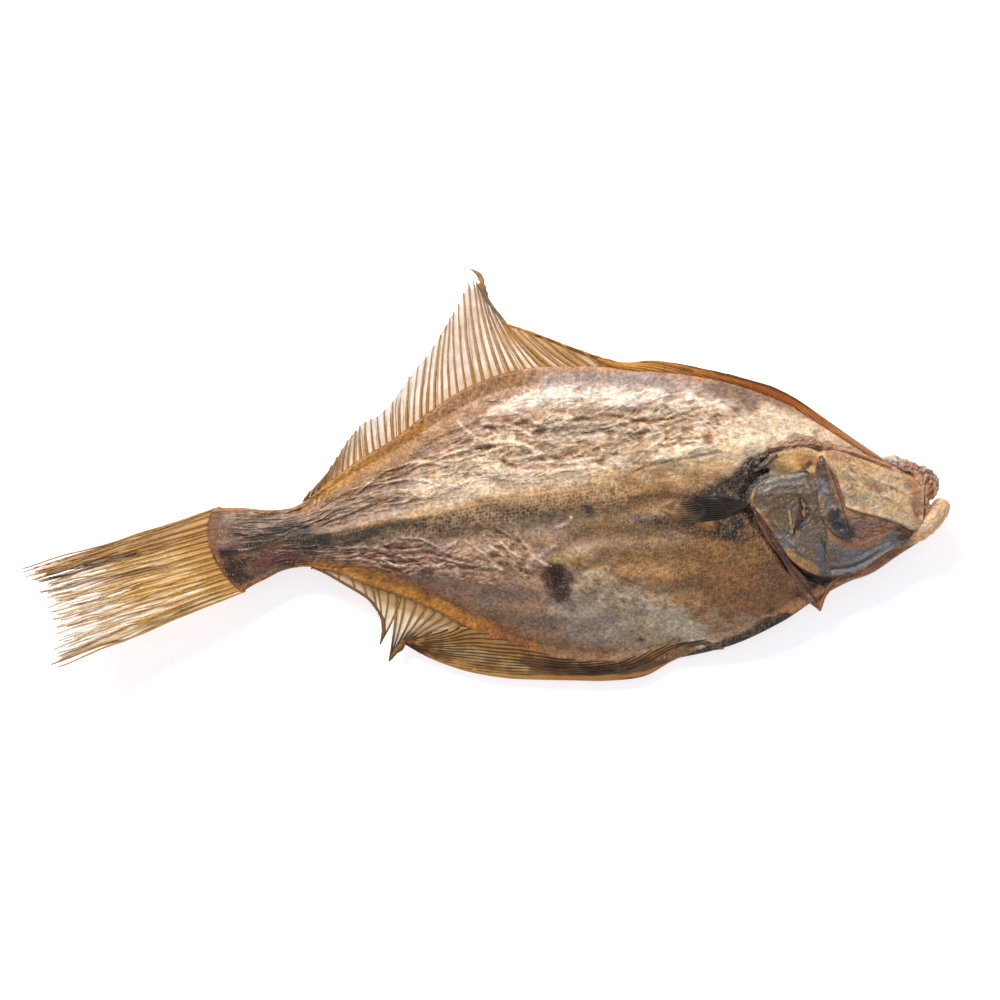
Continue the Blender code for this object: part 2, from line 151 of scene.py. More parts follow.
@dataclass(frozen=True)
class Route:
    """A smooth curve through a few places, read by the share of its places that has been passed."""

    places: Array

    def at(self, share: Array) -> Array:
        """Read the curve.

        Args:
            share: Numbers from 0, the first place, to 1, the last.

        Returns:
            One place for each share, with as many numbers as the curve's own places have.
        """
        last = len(self.places) - 1
        position = np.clip(share, 0, 1) * last
        first = np.minimum(position.astype(int), last - 1)
        t = (position - first)[..., None]
        before, start, end, after = (self.places[np.clip(first + step, 0, last)] for step in (-1, 0, 1, 2))
        cubic = 3 * (start - end) + after - before
        return start + 0.5 * t * (end - before + t * (2 * before - 5 * start + 4 * end - after + t * cubic))

    def even(self, share: Array, column: int) -> Array:
        """Read one number of the places, such as the width, changing evenly from each to the next."""
        return np.interp(share, np.linspace(0, 1, len(self.places)), self.places[:, column])

    def length(self) -> float:
        """Length of the curve as seen from above."""
        return float(np.hypot(*np.diff(self.at(np.linspace(0, 1, 60))[:, :2], axis=0).T).sum())

    def nearness(self, x: Array, y: Array) -> Array:
        """Distance from each place to the curve, as a share of the curve's half width there.

        Args:
            x: Places along the fish.
            y: Places across the fish.

        Returns:
            0 on the curve, 1 at its half width, and infinity far away.
        """
        share = np.linspace(0, 1, 5 * (len(self.places) - 1) + 1)
        line, half = self.at(share)[:, :2], self.even(share, 2)
        result = np.full(x.shape, np.inf)
        low, high = line.min(0) - 3 * half.max(), line.max(0) + 3 * half.max()
        close = (x > low[0]) & (x < high[0]) & (y > low[1]) & (y < high[1])
        px, py = x[close], y[close]
        best = np.full(px.shape, np.inf)
        for (x0, y0), (x1, y1), r0, r1 in zip(line, line[1:], half, half[1:]):
            span = max((x1 - x0) ** 2 + (y1 - y0) ** 2, 1e-9)
            t = np.clip(((px - x0) * (x1 - x0) + (py - y0) * (y1 - y0)) / span, 0, 1)
            gap = np.hypot(px - x0 - t * (x1 - x0), py - y0 - t * (y1 - y0))
            best = np.minimum(best, gap / (r0 + (r1 - r0) * t))
        result[close] = best
        return result


@dataclass(frozen=True)
class Noise:
    """Seeded gradient noise over a plane, from about -1 to 1, with features one unit wide."""

    seed: int

    def at(self, x: Array, y: Array) -> Array:
        """Read the noise.

        Args:
            x: Places along one way, counted in features.
            y: Places across it.

        Returns:
            Numbers from about -1 to 1.
        """
        draw = np.random.default_rng(self.seed)
        order, angles = draw.permutation(256), draw.uniform(0, math.tau, 256)
        ix, iy = np.floor(x).astype(int), np.floor(y).astype(int)
        fx, fy = x - ix, y - iy
        total = np.zeros(np.broadcast(x, y).shape)
        for dx in (0, 1):
            for dy in (0, 1):
                angle = angles[order[(order[(ix + dx) & 255] + iy + dy) & 255]]
                slope = np.cos(angle) * (fx - dx) + np.sin(angle) * (fy - dy)
                total += slope * ease(1 - np.abs(fx - dx)) * ease(1 - np.abs(fy - dy))
        return total * 1.5

    def layered(self, x: Array, y: Array, octaves: int = 3) -> Array:
        """Sum of octaves, each half as wide and half as strong as the one before."""
        return sum(Noise(self.seed + step).at(x * 2**step, y * 2**step) / 2**step for step in range(octaves))

    def ridges(self, x: Array, y: Array) -> Array:
        """Thin crests along the noise's zero lines: 1 on a crest, towards 0 in the hollows."""
        return 1 - np.minimum(np.abs(self.at(x, y)) * 2.2, 1.0)


def smoothed(values: Array, times: int) -> Array:
    """Average a grid of values with their neighbours, as often as asked."""
    for _ in range(times):
        near = np.pad(values, 1, mode="edge")
        values = (near[:-2, 1:-1] + near[2:, 1:-1] + near[1:-1, :-2] + near[1:-1, 2:] + 2 * values) / 6
    return values


def creased(relief: Array, gain: float, blur: int = 14, tilt: float = 0.12) -> Array:
    """Where a relief has crests (above 0.5) and hollows (below 0.5), for the painted highlight on its crests and the
    painted shade in its hollows.
    """
    return np.clip(0.5 + gain * (relief - smoothed(relief, blur)) + tilt * relief, 0, 1)


def seed_of(name: str) -> int:
    """A fixed seed from a piece's name."""
    return sum(place * ord(letter) for place, letter in enumerate(name, 1))


# ------------ meshes and node trees


ATTRIBUTE, BUMP, MAP, MIX, NOISE, VECTOR = (
    "ShaderNode" + kind for kind in ("Attribute", "Bump", "MapRange", "Mix", "TexNoise", "VectorMath"))
ABSOLUTE, ADD, DIVIDE, POWER, SINE, SUBTRACT, TIMES = (
    "ShaderNodeMath:" + kind for kind in ("ABSOLUTE", "ADD", "DIVIDE", "POWER", "SINE", "SUBTRACT", "MULTIPLY"))
NAMED, RANDOM, STORE = "GeometryNodeInputNamedAttribute", "FunctionNodeRandomValue", "GeometryNodeStoreNamedAttribute"


def set_sockets(node: Any, values: dict[Any, Any]) -> None:
    """Give a node's inputs their values, or the outputs that feed them. None leaves an input as it is."""
    for socket, value in values.items():
        if isinstance(value, bpy.types.NodeSocket):
            node.id_data.links.new(value, node.inputs[socket])
        elif value is not None:
            node.inputs[socket].default_value = value


def add_node(tree: NodeTree, kind: str, links: Any = (), out: Any = 0, **settings: Any) -> Any:
    """Add a node, with its settings, its socket values and the links into it.

    Args:
        tree: The shader or geometry tree.
        kind: The node's type name, and its operation after a colon where it has one.
        links: A value, or the output that feeds it, for each socket name or number, or for the first ones in order.
        out: Name or number of the output that is handed out, or None for the node itself.
        settings: The node's own properties.

    Returns:
        The output, or the node.
    """
    kind, _, operation = kind.partition(":")
    node = tree.nodes.new(kind)
    if operation:
        node.operation = operation
    for name, value in settings.items():
        setattr(node, name, value)
    set_sockets(node, links if isinstance(links, dict) else dict(enumerate(links)))
    return node if out is None else node.outputs[out]


def loft(sections: Array) -> tuple[Array, Array]:
    """Skin a row of closed sections into one closed form.

    Args:
        sections: Rings by points by 3. The first half of a ring's points runs over the top and the
            second half back underneath.

    Returns:
        The points, and four-cornered faces that point outwards.
    """
    rings, around, _ = sections.shape
    index = np.arange(rings * around).reshape(rings, around)
    after = np.roll(index, -1, axis=1)
    faces = [np.stack([index[:-1], after[:-1], after[1:], index[1:]], axis=-1).reshape(-1, 4)]
    for ring, step in ((index[0], -1), (index[-1], 1)):
        upper, lower = ring[: around // 2], ring[around // 2 :][::-1]
        faces.append(np.stack([upper[:-1], upper[1:], lower[1:], lower[:-1]], axis=-1)[:, ::step])
    points, faces = sections.reshape(-1, 3), np.concatenate(faces)
    a, b, c, d = (points[faces[:, corner]] for corner in range(4))
    volume = np.einsum("ij,ij->", a, np.cross(b, c)) + np.einsum("ij,ij->", a, np.cross(c, d))
    return points, faces if volume > 0 else faces[:, ::-1]


def new_object(name: str, points: Array, faces: Any, edges: Any = ()) -> Object:
    """Make an object at the origin from its points.

    Args:
        name: The name of the object and of its mesh.
        points: Places in millimetres.
        faces: The corners of each face, as numbers of points.
        edges: Pairs of points, for guides without faces.

    Returns:
        The object.
    """
    mesh = bpy.data.meshes.new(name)
    mesh.from_pydata((points * MM).tolist(), list(edges), np.asarray(faces).tolist())
    if len(faces):
        mesh.shade_smooth()
    made = bpy.data.objects.new(name, mesh)
    bpy.context.scene.collection.objects.link(made)
    return made


def set_values(made: Object, name: str, values: Array) -> None:
    """Store one number or one colour for each point of an object's mesh."""
    if values.ndim == 1:
        layer = made.data.attributes.new(name, "FLOAT", "POINT")
        layer.data.foreach_set("value", values.astype(np.float32))
    else:
        layer = made.data.attributes.new(name, "FLOAT_COLOR", "POINT")
        full = np.concatenate([values, np.ones((len(values), 1))], axis=1)
        layer.data.foreach_set("color", full.astype(np.float32).ravel())


def places_of(made: Object) -> Array:
    """The points of an object's mesh in millimetres."""
    points = np.empty(3 * len(made.data.vertices))
    made.data.vertices.foreach_get("co", points)
    return points.reshape(-1, 3) / MM


def set_flow(made: Object, flow: Array) -> None:
    """Give the mesh a UV map of two lengths in metres that follow the skin: along and across."""
    corners = np.empty(len(made.data.loops), int)
    made.data.loops.foreach_get("vertex_index", corners)
    layer = made.data.uv_layers.new(name="flow")
    layer.uv.foreach_set("vector", (flow * MM)[corners].astype(np.float32).ravel())


def new_geometry_tree(name: str, sockets: Iterable[tuple[str, str, Any]]) -> NodeTree:
    """A geometry tree with named inputs, each a title, a kind and a default, and one output."""
    tree = bpy.data.node_groups.new(name, "GeometryNodeTree")
    for title, kind, default in sockets:
        socket = tree.interface.new_socket(title, in_out="INPUT", socket_type="NodeSocket" + kind)
        if default is not None:
            socket.default_value = default
    tree.interface.new_socket("Made", in_out="OUTPUT", socket_type="NodeSocketGeometry")
    return tree


def end_geometry_tree(tree: NodeTree, made: Any, material: Any) -> NodeTree:
    """Realise what a geometry tree made, give it its material and hand it out."""
    real = add_node(tree, "GeometryNodeRealizeInstances", (made,))
    dressed = add_node(tree, "GeometryNodeSetMaterial", {0: real, "Material": material})
    add_node(tree, "NodeGroupOutput", (dressed,), None)
    return tree


def apply_tree(made: Object, tree: NodeTree, values: dict[str, Any]) -> None:
    """Run a geometry tree on an object once and keep the result as its plain mesh.

    Args:
        made: The object that holds the guides.
        tree: The geometry tree.
        values: Input name to value.
    """
    modifier = made.modifiers.new(tree.name, "NODES")
    modifier.node_group = tree
    for item in tree.interface.items_tree:
        if item.item_type == "SOCKET" and item.in_out == "INPUT" and item.name in values:
            modifier[item.identifier] = values[item.name]
    graph = bpy.context.evaluated_depsgraph_get()
    mesh = bpy.data.meshes.new_from_object(made.evaluated_get(graph), depsgraph=graph)
    made.modifiers.remove(modifier)
    made.data = mesh
    mesh.name = made.name
    mesh.shade_smooth()


def finish_piece(made: Object, material: Material, slot: Slot, paint: Paint | None = None) -> None:
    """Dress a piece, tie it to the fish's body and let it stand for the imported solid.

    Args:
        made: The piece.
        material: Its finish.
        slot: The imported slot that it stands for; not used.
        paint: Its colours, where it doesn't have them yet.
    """
    if paint:
        places = places_of(made)
        set_values(made, "paint", paint.at(places[:, 0], places[:, 1]))
    made.data.materials.clear()
    made.data.materials.append(material)
    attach(made, BODY)
    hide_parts(NODE)
    LOG.info("%s: %d faces", made.name, len(made.data.polygons))


# ------------ paint


@dataclass(frozen=True)
class Stain:
    """A patch or streak in the skin: a curve with half widths, and its colour."""

    name: str
    path: Route
    colour: str
    strength: float = 1.0
    soft: float = 0.6
    ragged: float = 0.3

    def share(self, x: Array, y: Array) -> Array:
        """How much of this stain each place takes."""
        fray = self.ragged * Noise(seed_of(self.name)).layered(x / 5.0, y / 2.6, 4)
        reach = self.path.nearness(x, y) + fray
        return self.strength * (1 - ease((reach - 1 + self.soft / 2) / max(self.soft, 1e-3)))


def read_stains(text: str) -> tuple[Stain, ...]:
    """The stains that rows of text tell of, in order."""
    return tuple(Stain(name, path, colour, *map(float, numbers))
                 for (name, colour, *numbers), path in read_rows(text))


@dataclass(frozen=True)
class Paint:
    """A ground colour with stains over it, in order."""

    ground: str
    stains: tuple[Stain, ...] = ()

    def at(self, x: Array, y: Array) -> Array:
        """Linear colours at some places."""
        colours = np.tile(to_linear(self.ground), (len(x), 1))
        for stain in self.stains:
            share = stain.share(x, y)[:, None]
            colours = colours * (1 - share) + to_linear(stain.colour) * share
        return colours


@dataclass(frozen=True)
class Crease:
    """A ridge (height above 0) or a hollow (below 0) along a curve, in millimetres."""

    path: Route
    height: float

    def lift(self, x: Array, y: Array) -> Array:
        """Height that the crease adds at each place."""
        reach = self.path.nearness(x, y)
        return self.height * np.exp(-np.minimum(reach, 9.0) ** 2 * 1.6)


def read_creases(text: str) -> tuple[Crease, ...]:
    """The creases that rows of text tell of, in order."""
    return tuple(Crease(path, float(height)) for (height,), path in read_rows(text))


@dataclass(frozen=True)
class Ripples:
    """A patch of short parallel wrinkles in the dried skin.

    The wrinkles run along `angle` degrees from +X, `spacing` apart, and fade out at the patch's rim.
    """

    name: str
    centre: Place
    reach: Place
    angle: float
    spacing: float
    height: float
    length: float = 5.0
    wander: float = 0.8

    def lift(self, x: Array, y: Array) -> Array:
        """Height that the wrinkles add at each place."""
        turn = math.radians(self.angle)
        dx, dy = x - self.centre[0], y - self.centre[1]
        along = dx * math.cos(turn) + dy * math.sin(turn)
        aside = dy * math.cos(turn) - dx * math.sin(turn)
        fade = 1 - ease(np.hypot(along / self.reach[0], aside / self.reach[1]) * 2 - 1)
        seed = seed_of(self.name)
        length = self.length * self.spacing
        bend = self.wander * Noise(seed).layered(along / length * 1.7, aside / self.spacing / 2.5, 2)
        ridges = Noise(seed + 9).ridges(along / length, aside / self.spacing + bend)
        return self.height * fade * (ridges - 0.55)


# painted highlight: a pale band along the back
# painted shade in the gill slit
# painted shade in the groove along the crown
# painted shade in the hollow of the throat
# the belly half, darker partly by its own colour and partly as painted shade, as it faces away from the lamp
# the pale, silvery half over the backbone, pale partly by its own colour and partly as painted light, as this half
# faces the lamp
SKIN_PAINT = Paint("#a58b70", read_stains("""
# the pale, silvery half over the backbone
back_pale #d2bfa4 .95 .8 -44,-7,7 -20,4,13 5,12,16 35,18,17 62,18,16 90,10,8
back_tail #8f7562 .85 .9 -58,-12,4 -46,-10.4,7 -36,-7,8 -26,1,5
back_cream #dccbb0 .85 .9 -14,-5,6 8,2,8 26,4,8 48,6,7 58,8,5
back_mauve #b08f7c .7 .9 .5 -30,4,4 -14,12,5 0,17,5 12,21,4
back_pink #c29a80 .9 .7 4,31,1.4 24,31.6,2.2 46,31,2.2 64,29.4,1.8
back_grey #bdb0ab .9 .7 2,26,2.4 14,28,2.6 34,28.4,2.8 54,27.4,2.6 68,24.4,2
back_white #f6ede0 .95 .8 .4 2,20,1.6 18,24,2.4 36,23.6,2.6 54,23.4,2.4 74,21.6,1.4
back_line #93867b .8 .9 .5 22,19.4,.6 40,20.2,.7 60,19.8,.5
back_shade #b3a593 .7 .9 .6 16,13,3 30,13.6,3.4 44,13,2.5
back_olive #c2ad8a .7 .9 .6 30,8,3 44,9,4 58,8,3
back_light #e8d9be .9 .8 .4 54,8,4.4 66,9,6 78,10.6,6 88,13.6,3.4
back_dusk #957966 .86 .9 .6 68,26.4,2.6 76,24.4,4.2 84,21.6,3.6 90,18,2
line_shade #93806c .7 .8 40,-.8,.5 46,2,.5 52,3.8,.5 60,5.4,.5 70,7.2,.4
# the golden band along the ray roots of the back, which turns mauve towards the head
back_band #8f6c3e .95 .5 -58,-8.5,2.6 -44,-1.4,5.6 -32,5.6,7.2 -18,15,7 -6,22.6,6.2 8,29,3.4
back_band_mauve #a8835f .85 .8 -24,11,3 -12,18.6,4.4 0,25,4.2 14,29.4,2.4
back_band_gold #a97c32 .95 .8 -52,-5.6,2.4 -42,1.4,3.6 -32,7.6,3.8 -20,15.4,2.4
back_band_rim #8f5f30 .75 .9 -40,4,.8 -28,11.6,1 -16,20.6,1 -4,27.6,1 10,32,.8
neck_edge #a87248 .85 .7 64,31,.8 78,28,1.4 90,22.5,1.8 102,14.5,1.8 114,7,1.2
neck_gold #efdfc4 .9 .8 84,19.6,2.4 94,15.4,3 104,11,2.8 116,6.4,1.6
# the backbone line and the dusky strip under it
under_line_brown #957a58 .85 -30,-15.5,2.4 -10,-11.6,3 10,-8.8,3.6 26,-6.4,4 42,-5.2,3.6 54,-4.6,2.4
line_gold #b59468 .8 .8 -62,-19,.5 -40,-15.2,.8 -10,-9.4,.9 20,-4.2,.9 36,-3,.7
line_front #cdb593 .8 .9 .5 38,-1.6,1.6 50,.2,3.2 62,1.2,2.6
line_cream #d3b98f .9 .8 34,-.6,2.2 46,.4,2.6 58,1.4,2.6 68,3.4,2.2
under_line #6d5c4a .85 .8 .4 -78,-22,4 -60,-22.5,4.6 -40,-20,4.6 -15,-15.8,4.2 10,-13.6,3.6 26,-12,3
under_line_dark #4b4036 .7 .9 .5 -66,-22,3 -50,-21.6,2.8 -32,-18,2.2
# the belly half
belly_mauve #a3846f .92 .8 -52,-27,3 -34,-28,7 -12,-31,10 12,-38,13 28,-44,12
belly_rose #8a5f4c .6 1 .6 -40,-28,2.4 -24,-31,3.4 -8,-34,3
belly_mid #9e856c .8 .9 .4 0,-22,8 16,-24,8 32,-26,6
belly_brown #8f683a .8 .9 -4,-42,4 12,-47,7 34,-51,5
belly_grey #aba28c .9 .9 .4 28,-40,9 42,-41,9 56,-42,7
belly_lilac #9b9090 .6 1 .6 24,-40,5 36,-46,5
belly_white #cbc3b4 .88 .9 .7 48,-36,2.8 57,-44,4 65,-50,3
belly_white_streak #bdb29c .75 1 .7 30,-29,2 42,-32,3 54,-37,3
belly_band #9a6630 .92 .8 .5 -58,-26.4,1.8 -44,-30.2,3.6 -32,-34.6,5.4 -16,-41.4,6.4 0,-48,5 14,-53.5,2.4
belly_band_gold #b8812f .9 1 .8 -54,-27,1.4 -44,-28.8,2.6 -34,-31.6,3.4 -24,-36,3.2 -12,-41,2.8 0,-44.5,1.6
belly_haze #8f7b6d .7 1 .6 -18,-29,2.4 -4,-35,4 10,-41,4.4 22,-47,3
belly_rim #6c4b2f .9 .7 10,-54.5,1.8 30,-57.3,1.8 46,-56,1.8 62,-52.5,1.6
# the brown breast and the olive and dark shades round the arm fin
breast #81592a .95 .7 .35 50,-17,17 68,-24,17 84,-32,10
breast_right #613f1e .85 .8 64,-19,5 76,-24,8 84,-28,6
breast_light #a98456 .75 1 .6 42,-27,3.6 54,-29,5 62,-35,4
breast_gold #8a6430 .7 .9 .6 62,-20,6 74,-24,7 80,-20,4
breast_dim #80592f .75 .9 .5 62,-29,6 74,-33,7 88,-38,4
breast_olive #7c6446 .85 .8 .35 28,-14,6 42,-15,7 56,-16,6
breast_sand #b3916b .8 1 .5 20,-6.4,2 32,-7,3 40,-7.6,2
shoulder_dark #41291a .94 .7 .25 46,-12,2.2 54,-11.6,4.2 64,-10,5.4 74,-7.6,6 80,0,3.6
arm_shadow #3c2719 .85 .9 .5 54,-10,2.6 64,-14,4.2 74,-15.6,5 84,-15,3
shoulder_black #1e1410 .96 64,-6.4,2.2 70,-5.2,3.4 75.6,-2.2,4.2 79.2,1.4,3.6 82.4,4.6,1.8
shoulder_gold #b89668 .7 .9 .5 40,-4.6,1.6 52,-3.4,1.8 62,-1.4,1.8 70,2.6,1.4
arm_shade #573a1c .8 .9 .4 56,-12,3 66,-15,3.6 78,-15,3.4
arm_rust #94622f .8 .9 .4 64,-14.6,1.2 69,-15.2,1
arm_tan #94734c .9 .9 .4 46,-9.4,2.2 52,-9.6,2.8 57,-9.6,2.4
arm_pit #1a110c .95 .8 .8 69.4,-16.2,1.8 72.6,-17.4,2.4 75.4,-14,1.6
breast_black #1a1411 .97 .6 .4 62,-53.8,.9 71,-51.2,1.7 81,-46.6,2.2 90,-42,1.4
throat_tan #9d7450 .7 .8 88,-39,2.4 96,-38.5,2
# spots
vent #54371c .97 .5 20.4,-25.4,1.8 20.8,-28.6,3.4 21.6,-31.6,4.4 22.6,-34.4,3.2
vent_core #2e1b10 .9 .6 .4 20.6,-27.6,1.5 21.4,-31,2.8 22.2,-33.4,2
vent_olive #a58a4c .75 1 .6 21,-24.6,1.6 27,-25,1.4 34,-27,1.2
dusky_spot #3a2f27 .9 .8 .6 29.6,-9.4,1.3 31.4,-11.2,1.5
red_spot #a06a4c .85 .7 .6 65.2,11.8,1.5 66.6,10.6,1.3
belly_dot #3b2418 .95 46.2,-49.2,.9 46.6,-49.4,.9
belly_dot_two #6b4028 .95 40.8,-37.2,.7 41.2,-37.3,.7
# the tail root
tail_root #6a4c3a .9 .5 -86,-22,14 -74,-21,11 -62,-20,8
tail_root_mauve #7a6157 .8 .9 .5 -82,-16,4 -78,-22,4
tail_root_pale #8d7d70 .7 .9 .6 -78,-12.6,1.4 -70,-15.2,2 -62,-15.6,2.2 -54,-14,2
tail_root_black #2c1c15 .92 1.3 .9 -78.6,-23.6,1.4 -75.6,-25.6,3.4 -76.6,-29,2.6 -72.8,-32.4,2.8
tail_root_dark #33281f .88 .9 .5 -71,-20.4,1.6 -64,-18,2.6 -57,-17.4,3.3 -49,-19.4,2.6
tail_root_red #76453a .75 .8 .5 -68,-27,1.6 -58,-24.6,1.4 -46,-25,1
tail_root_gold #8f6234 .8 .8 .5 -81,-9.8,1 -74,-9.8,1 -66,-10.2,.8 -58,-9.6,.7
tail_root_belly #a36a35 .85 .8 .5 -74,-34,1.2 -66,-31,.9 -58,-28,.8
tail_edge #96693a .66 1.9 .9 -80.7,-9.8,.9 -82,-14.9,1 -82.5,-19.5,1 -82,-24.1,1 -80.2,-28.7,1.2 -77,-32.3,1.4
  -73.8,-35.1,1
belly_band_start #c68f45 .9 .9 .5 -56,-26.6,.8 -50,-27.2,1.5 -44,-28.6,2.2 -38,-31,2.2
gill_black #2b201a .85 .9 .6 79,3.4,2.2 83,-.6,2.4
# the head's own skin, seen between its plates
head_ground #8d6f54 .95 .4 92,-8,10 104,-10,20 122,-10,16 132,-10,10
temple #d2b27c .94 .7 86,5,2.8 93,4.4,3.8 101,5,2.4
temple_rust #b27d48 .8 .9 .5 94,4.8,1.6 98,4.6,1.4
temple_dots #2e2119 .85 .9 .7 94.6,2.6,1 96.4,3.6,.8
temple_olive #7f6a3e .8 .9 .5 86,2.6,1.4 90,1.8,1.4
crown_groove #5c4532 .85 .8 86,7.6,.9 94,9.8,1 100,8,.8
gill_gap #1c1512 .95 .7 .4 84,1.6,.6 81,.4,1.4 78.2,-3.2,1.9 76.9,-7.8,1.6 79.4,-12.2,1.4 83.2,-17,1.3 86.2,-21.4,1.3
  89.2,-25.6,1.3 92.6,-28.4,1.5 97,-30.6,1.7 103,-31.6,1.3
throat_hollow #1a1311 .95 97,-32.4,1.8 103,-33,1.4
throat_brown #6a4a34 .8 .8 94,-34,2.6 101,-38,2.2
snout #a27657 .8 .8 .4 116,2.6,2.6 124,-.4,3.4 129,-6,3
"""))

SKIN_CREASES = read_creases("""
# the backbone and the long folds over the back
.35 -80,-21,1.5 -60,-19.6,1.6 -40,-15.6,1.6 -10,-10,1.4
.8 -10.1,6.7,.5 -3.5,8.6,.8 3,10,.9 8.9,9.7,.9 13.2,8.2,.9 17.6,5.6,.9 22,3.8,.9 27.8,4.5,.8 33.7,5.3,.5
.7 7.4,19.5,.5 11.8,18,.7 14.7,15.8,.8 19,14.8,.8 22.7,15.5,.8 25.6,17.3,.7 30,18.4,.5
.6 -1.4,15.8,.5 3,15.1,.7 7.4,15.1,.8 11.8,12.9,.7 14,11.6,.5
.6 -8.6,16.6,.6 -6.5,14.4,.8 -3.5,11.5,.6
.6 -30.5,-2.4,.5 -23.2,-.9,.7 -17.4,-1.7,.7 -13,-3.1,.5
.6 -40,-6.5,.5 -30,1.5,.8 -20,4.2,.8 -12,3.2,.5
-.7 26.4,16.6,.5 32.2,17.3,.7 38,18,.7 43.9,16.6,.7 49.7,16.2,.7 56.3,17.3,.5
-.5 26,12,.5 34,13.4,.7 42,12.2,.7 50,13.2,.5
-.8 5.2,4.2,.7 8.9,2.7,.6
.6 44.2,16.9,.6 54.3,19.2,.8 60.3,19.6,.6
-.25 40,-.8,.5 46,2,.6 52,3.8,.6 60,5.4,.5 70,7.2,.4
-.35 70.9,22.4,.7 75,19.7,.9 81.4,19.2,.6
.7 83.3,19.6,.8 88.8,16.9,.8
# the fan of sharp wrinkles between the backbone and the vent
.42 -25,-18.5,.5 -19,-18.8,.7 -12.2,-21.2,.7 -7.5,-18.2,.4
.42 -19,-18.8,.5 -11.5,-22.9,.7 -4.8,-24.9,.7 1.3,-26.6,.7 4.7,-28.3,.4
.42 -6.1,-19.5,.4 -2.8,-21.5,.6 .6,-24.2,.6 3.3,-26.9,.6 5.4,-28.3,.4
.42 .6,-20.2,.4 4,-22.9,.6 6.7,-25.3,.6 11.4,-27.3,.6 15.5,-26.9,.4
.42 4.7,-19.9,.4 8.1,-22.9,.6 12.1,-24.9,.6 14.8,-24.9,.6 18.2,-26.9,.4
.42 9.4,-16.8,.4 11.4,-20.2,.6 14.1,-23.6,.6 16.8,-25.6,.6 19.5,-26.9,.4
.5 15.5,-24.2,.5 19.5,-21.5,.9 21.6,-20.9,.5
.5 -25,-24.9,.5 -18.3,-24.2,.7 -11.5,-24.9,.7 -6.8,-26,.6 2,-27.6,.4
.42 -27.8,-29,.5 -21.7,-29,.7 -18.3,-27,.7 -12.9,-27,.5
.5 -44,-22,.5 -36,-21.4,.7 -28,-22.6,.7 -20,-22,.5
.5 -50,-26,.5 -40,-24.6,.7 -32,-26.4,.7 -24,-27,.5
.5 20.9,-15.5,.5 24.3,-14.1,.7 25.6,-12.1,.5
# the pleats of the tail root
.7 -66,-26.4,.6 -54,-24,.8 -46,-24.8,.8 -38,-28.6,.5
.5 -74,-31,1 -64,-25.4,1 -54,-23.6,.7
.65 -79,-11.4,.6 -72,-14,.9 -66.5,-17,.6
.4 -80,-14.4,.5 -74,-16.4,.7 -68,-19,.5
.4 -80.4,-22,.5 -74,-22.4,.7 -68,-21.6,.5
.5 -74,-11,.5 -68,-13.6,.7 -62,-15.4,.7 -54,-14.6,.5
# the vent, the temple and the gill slit
-.5 20.2,-28.6,1 21.8,-32.4,1.5
-.7 84,7.2,1 92,10.2,1.2 100,7.6,.9
-1.6 84,1.6,.6 81,.4,.9 78.2,-3.2,1.2 76.9,-7.8,1.3 79.4,-12.2,1.4 83.2,-17,1.4 86.2,-21.4,1.4 89.2,-25.6,1.5
  92.6,-28.4,1.6 97,-30.6,1.4 103,-31.6,1.2
-1.4 97,-32.6,1.6 103,-33,1.2
""")

SKIN_RIPPLES = (
    Ripples("crags", (58, 15), (26, 8), -4, 1.8, 0.5, 3.0, 1.3),
    Ripples("crags_fine", (44, 9), (24, 9), 12, 1.5, 0.4, 2.8, 1.2),
    Ripples("back_braid", (8, 12), (34, 8), 12, 1.7, 0.42, 3.4, 1.0),
    Ripples("neck_crags", (78, 22.5), (11, 4.5), -22, 1.6, 0.8, 3.0, 1.2),
    Ripples("diagonal", (6, -22), (16, 7), -32, 1.35, 0.6, 3.0, 0.8),
    Ripples("diagonal_cross", (8, -23), (15, 6), -58, 1.6, 0.4, 2.6, 1.1),
    Ripples("belly_arch", (-26, -25), (30, 8), -8, 1.45, 0.55, 4.2, 0.9),
    Ripples("belly_late", (36, -33), (20, 9), -22, 1.8, 0.4, 3.4, 0.9),
    Ripples("tail_streaks", (-62, -18), (22, 12), 4, 1.7, 0.5, 6.0, 0.6),
)

# Where the long folds of the shrunken skin run: along the back, and behind the vent. Their colour isn't used.
FOLD_ZONES = read_stains("""
fold_back #ffffff 1 .4 -72,-14,4 -50,-10,5 -30,-4,6.5 -10,4.5,9.5 15,12,13 40,14.4,12.5 62,16,10
fold_belly #ffffff -60,-24,3 -40,-24.5,4 -20,-25,5 0,-27,5
""")


# ------------ finishes


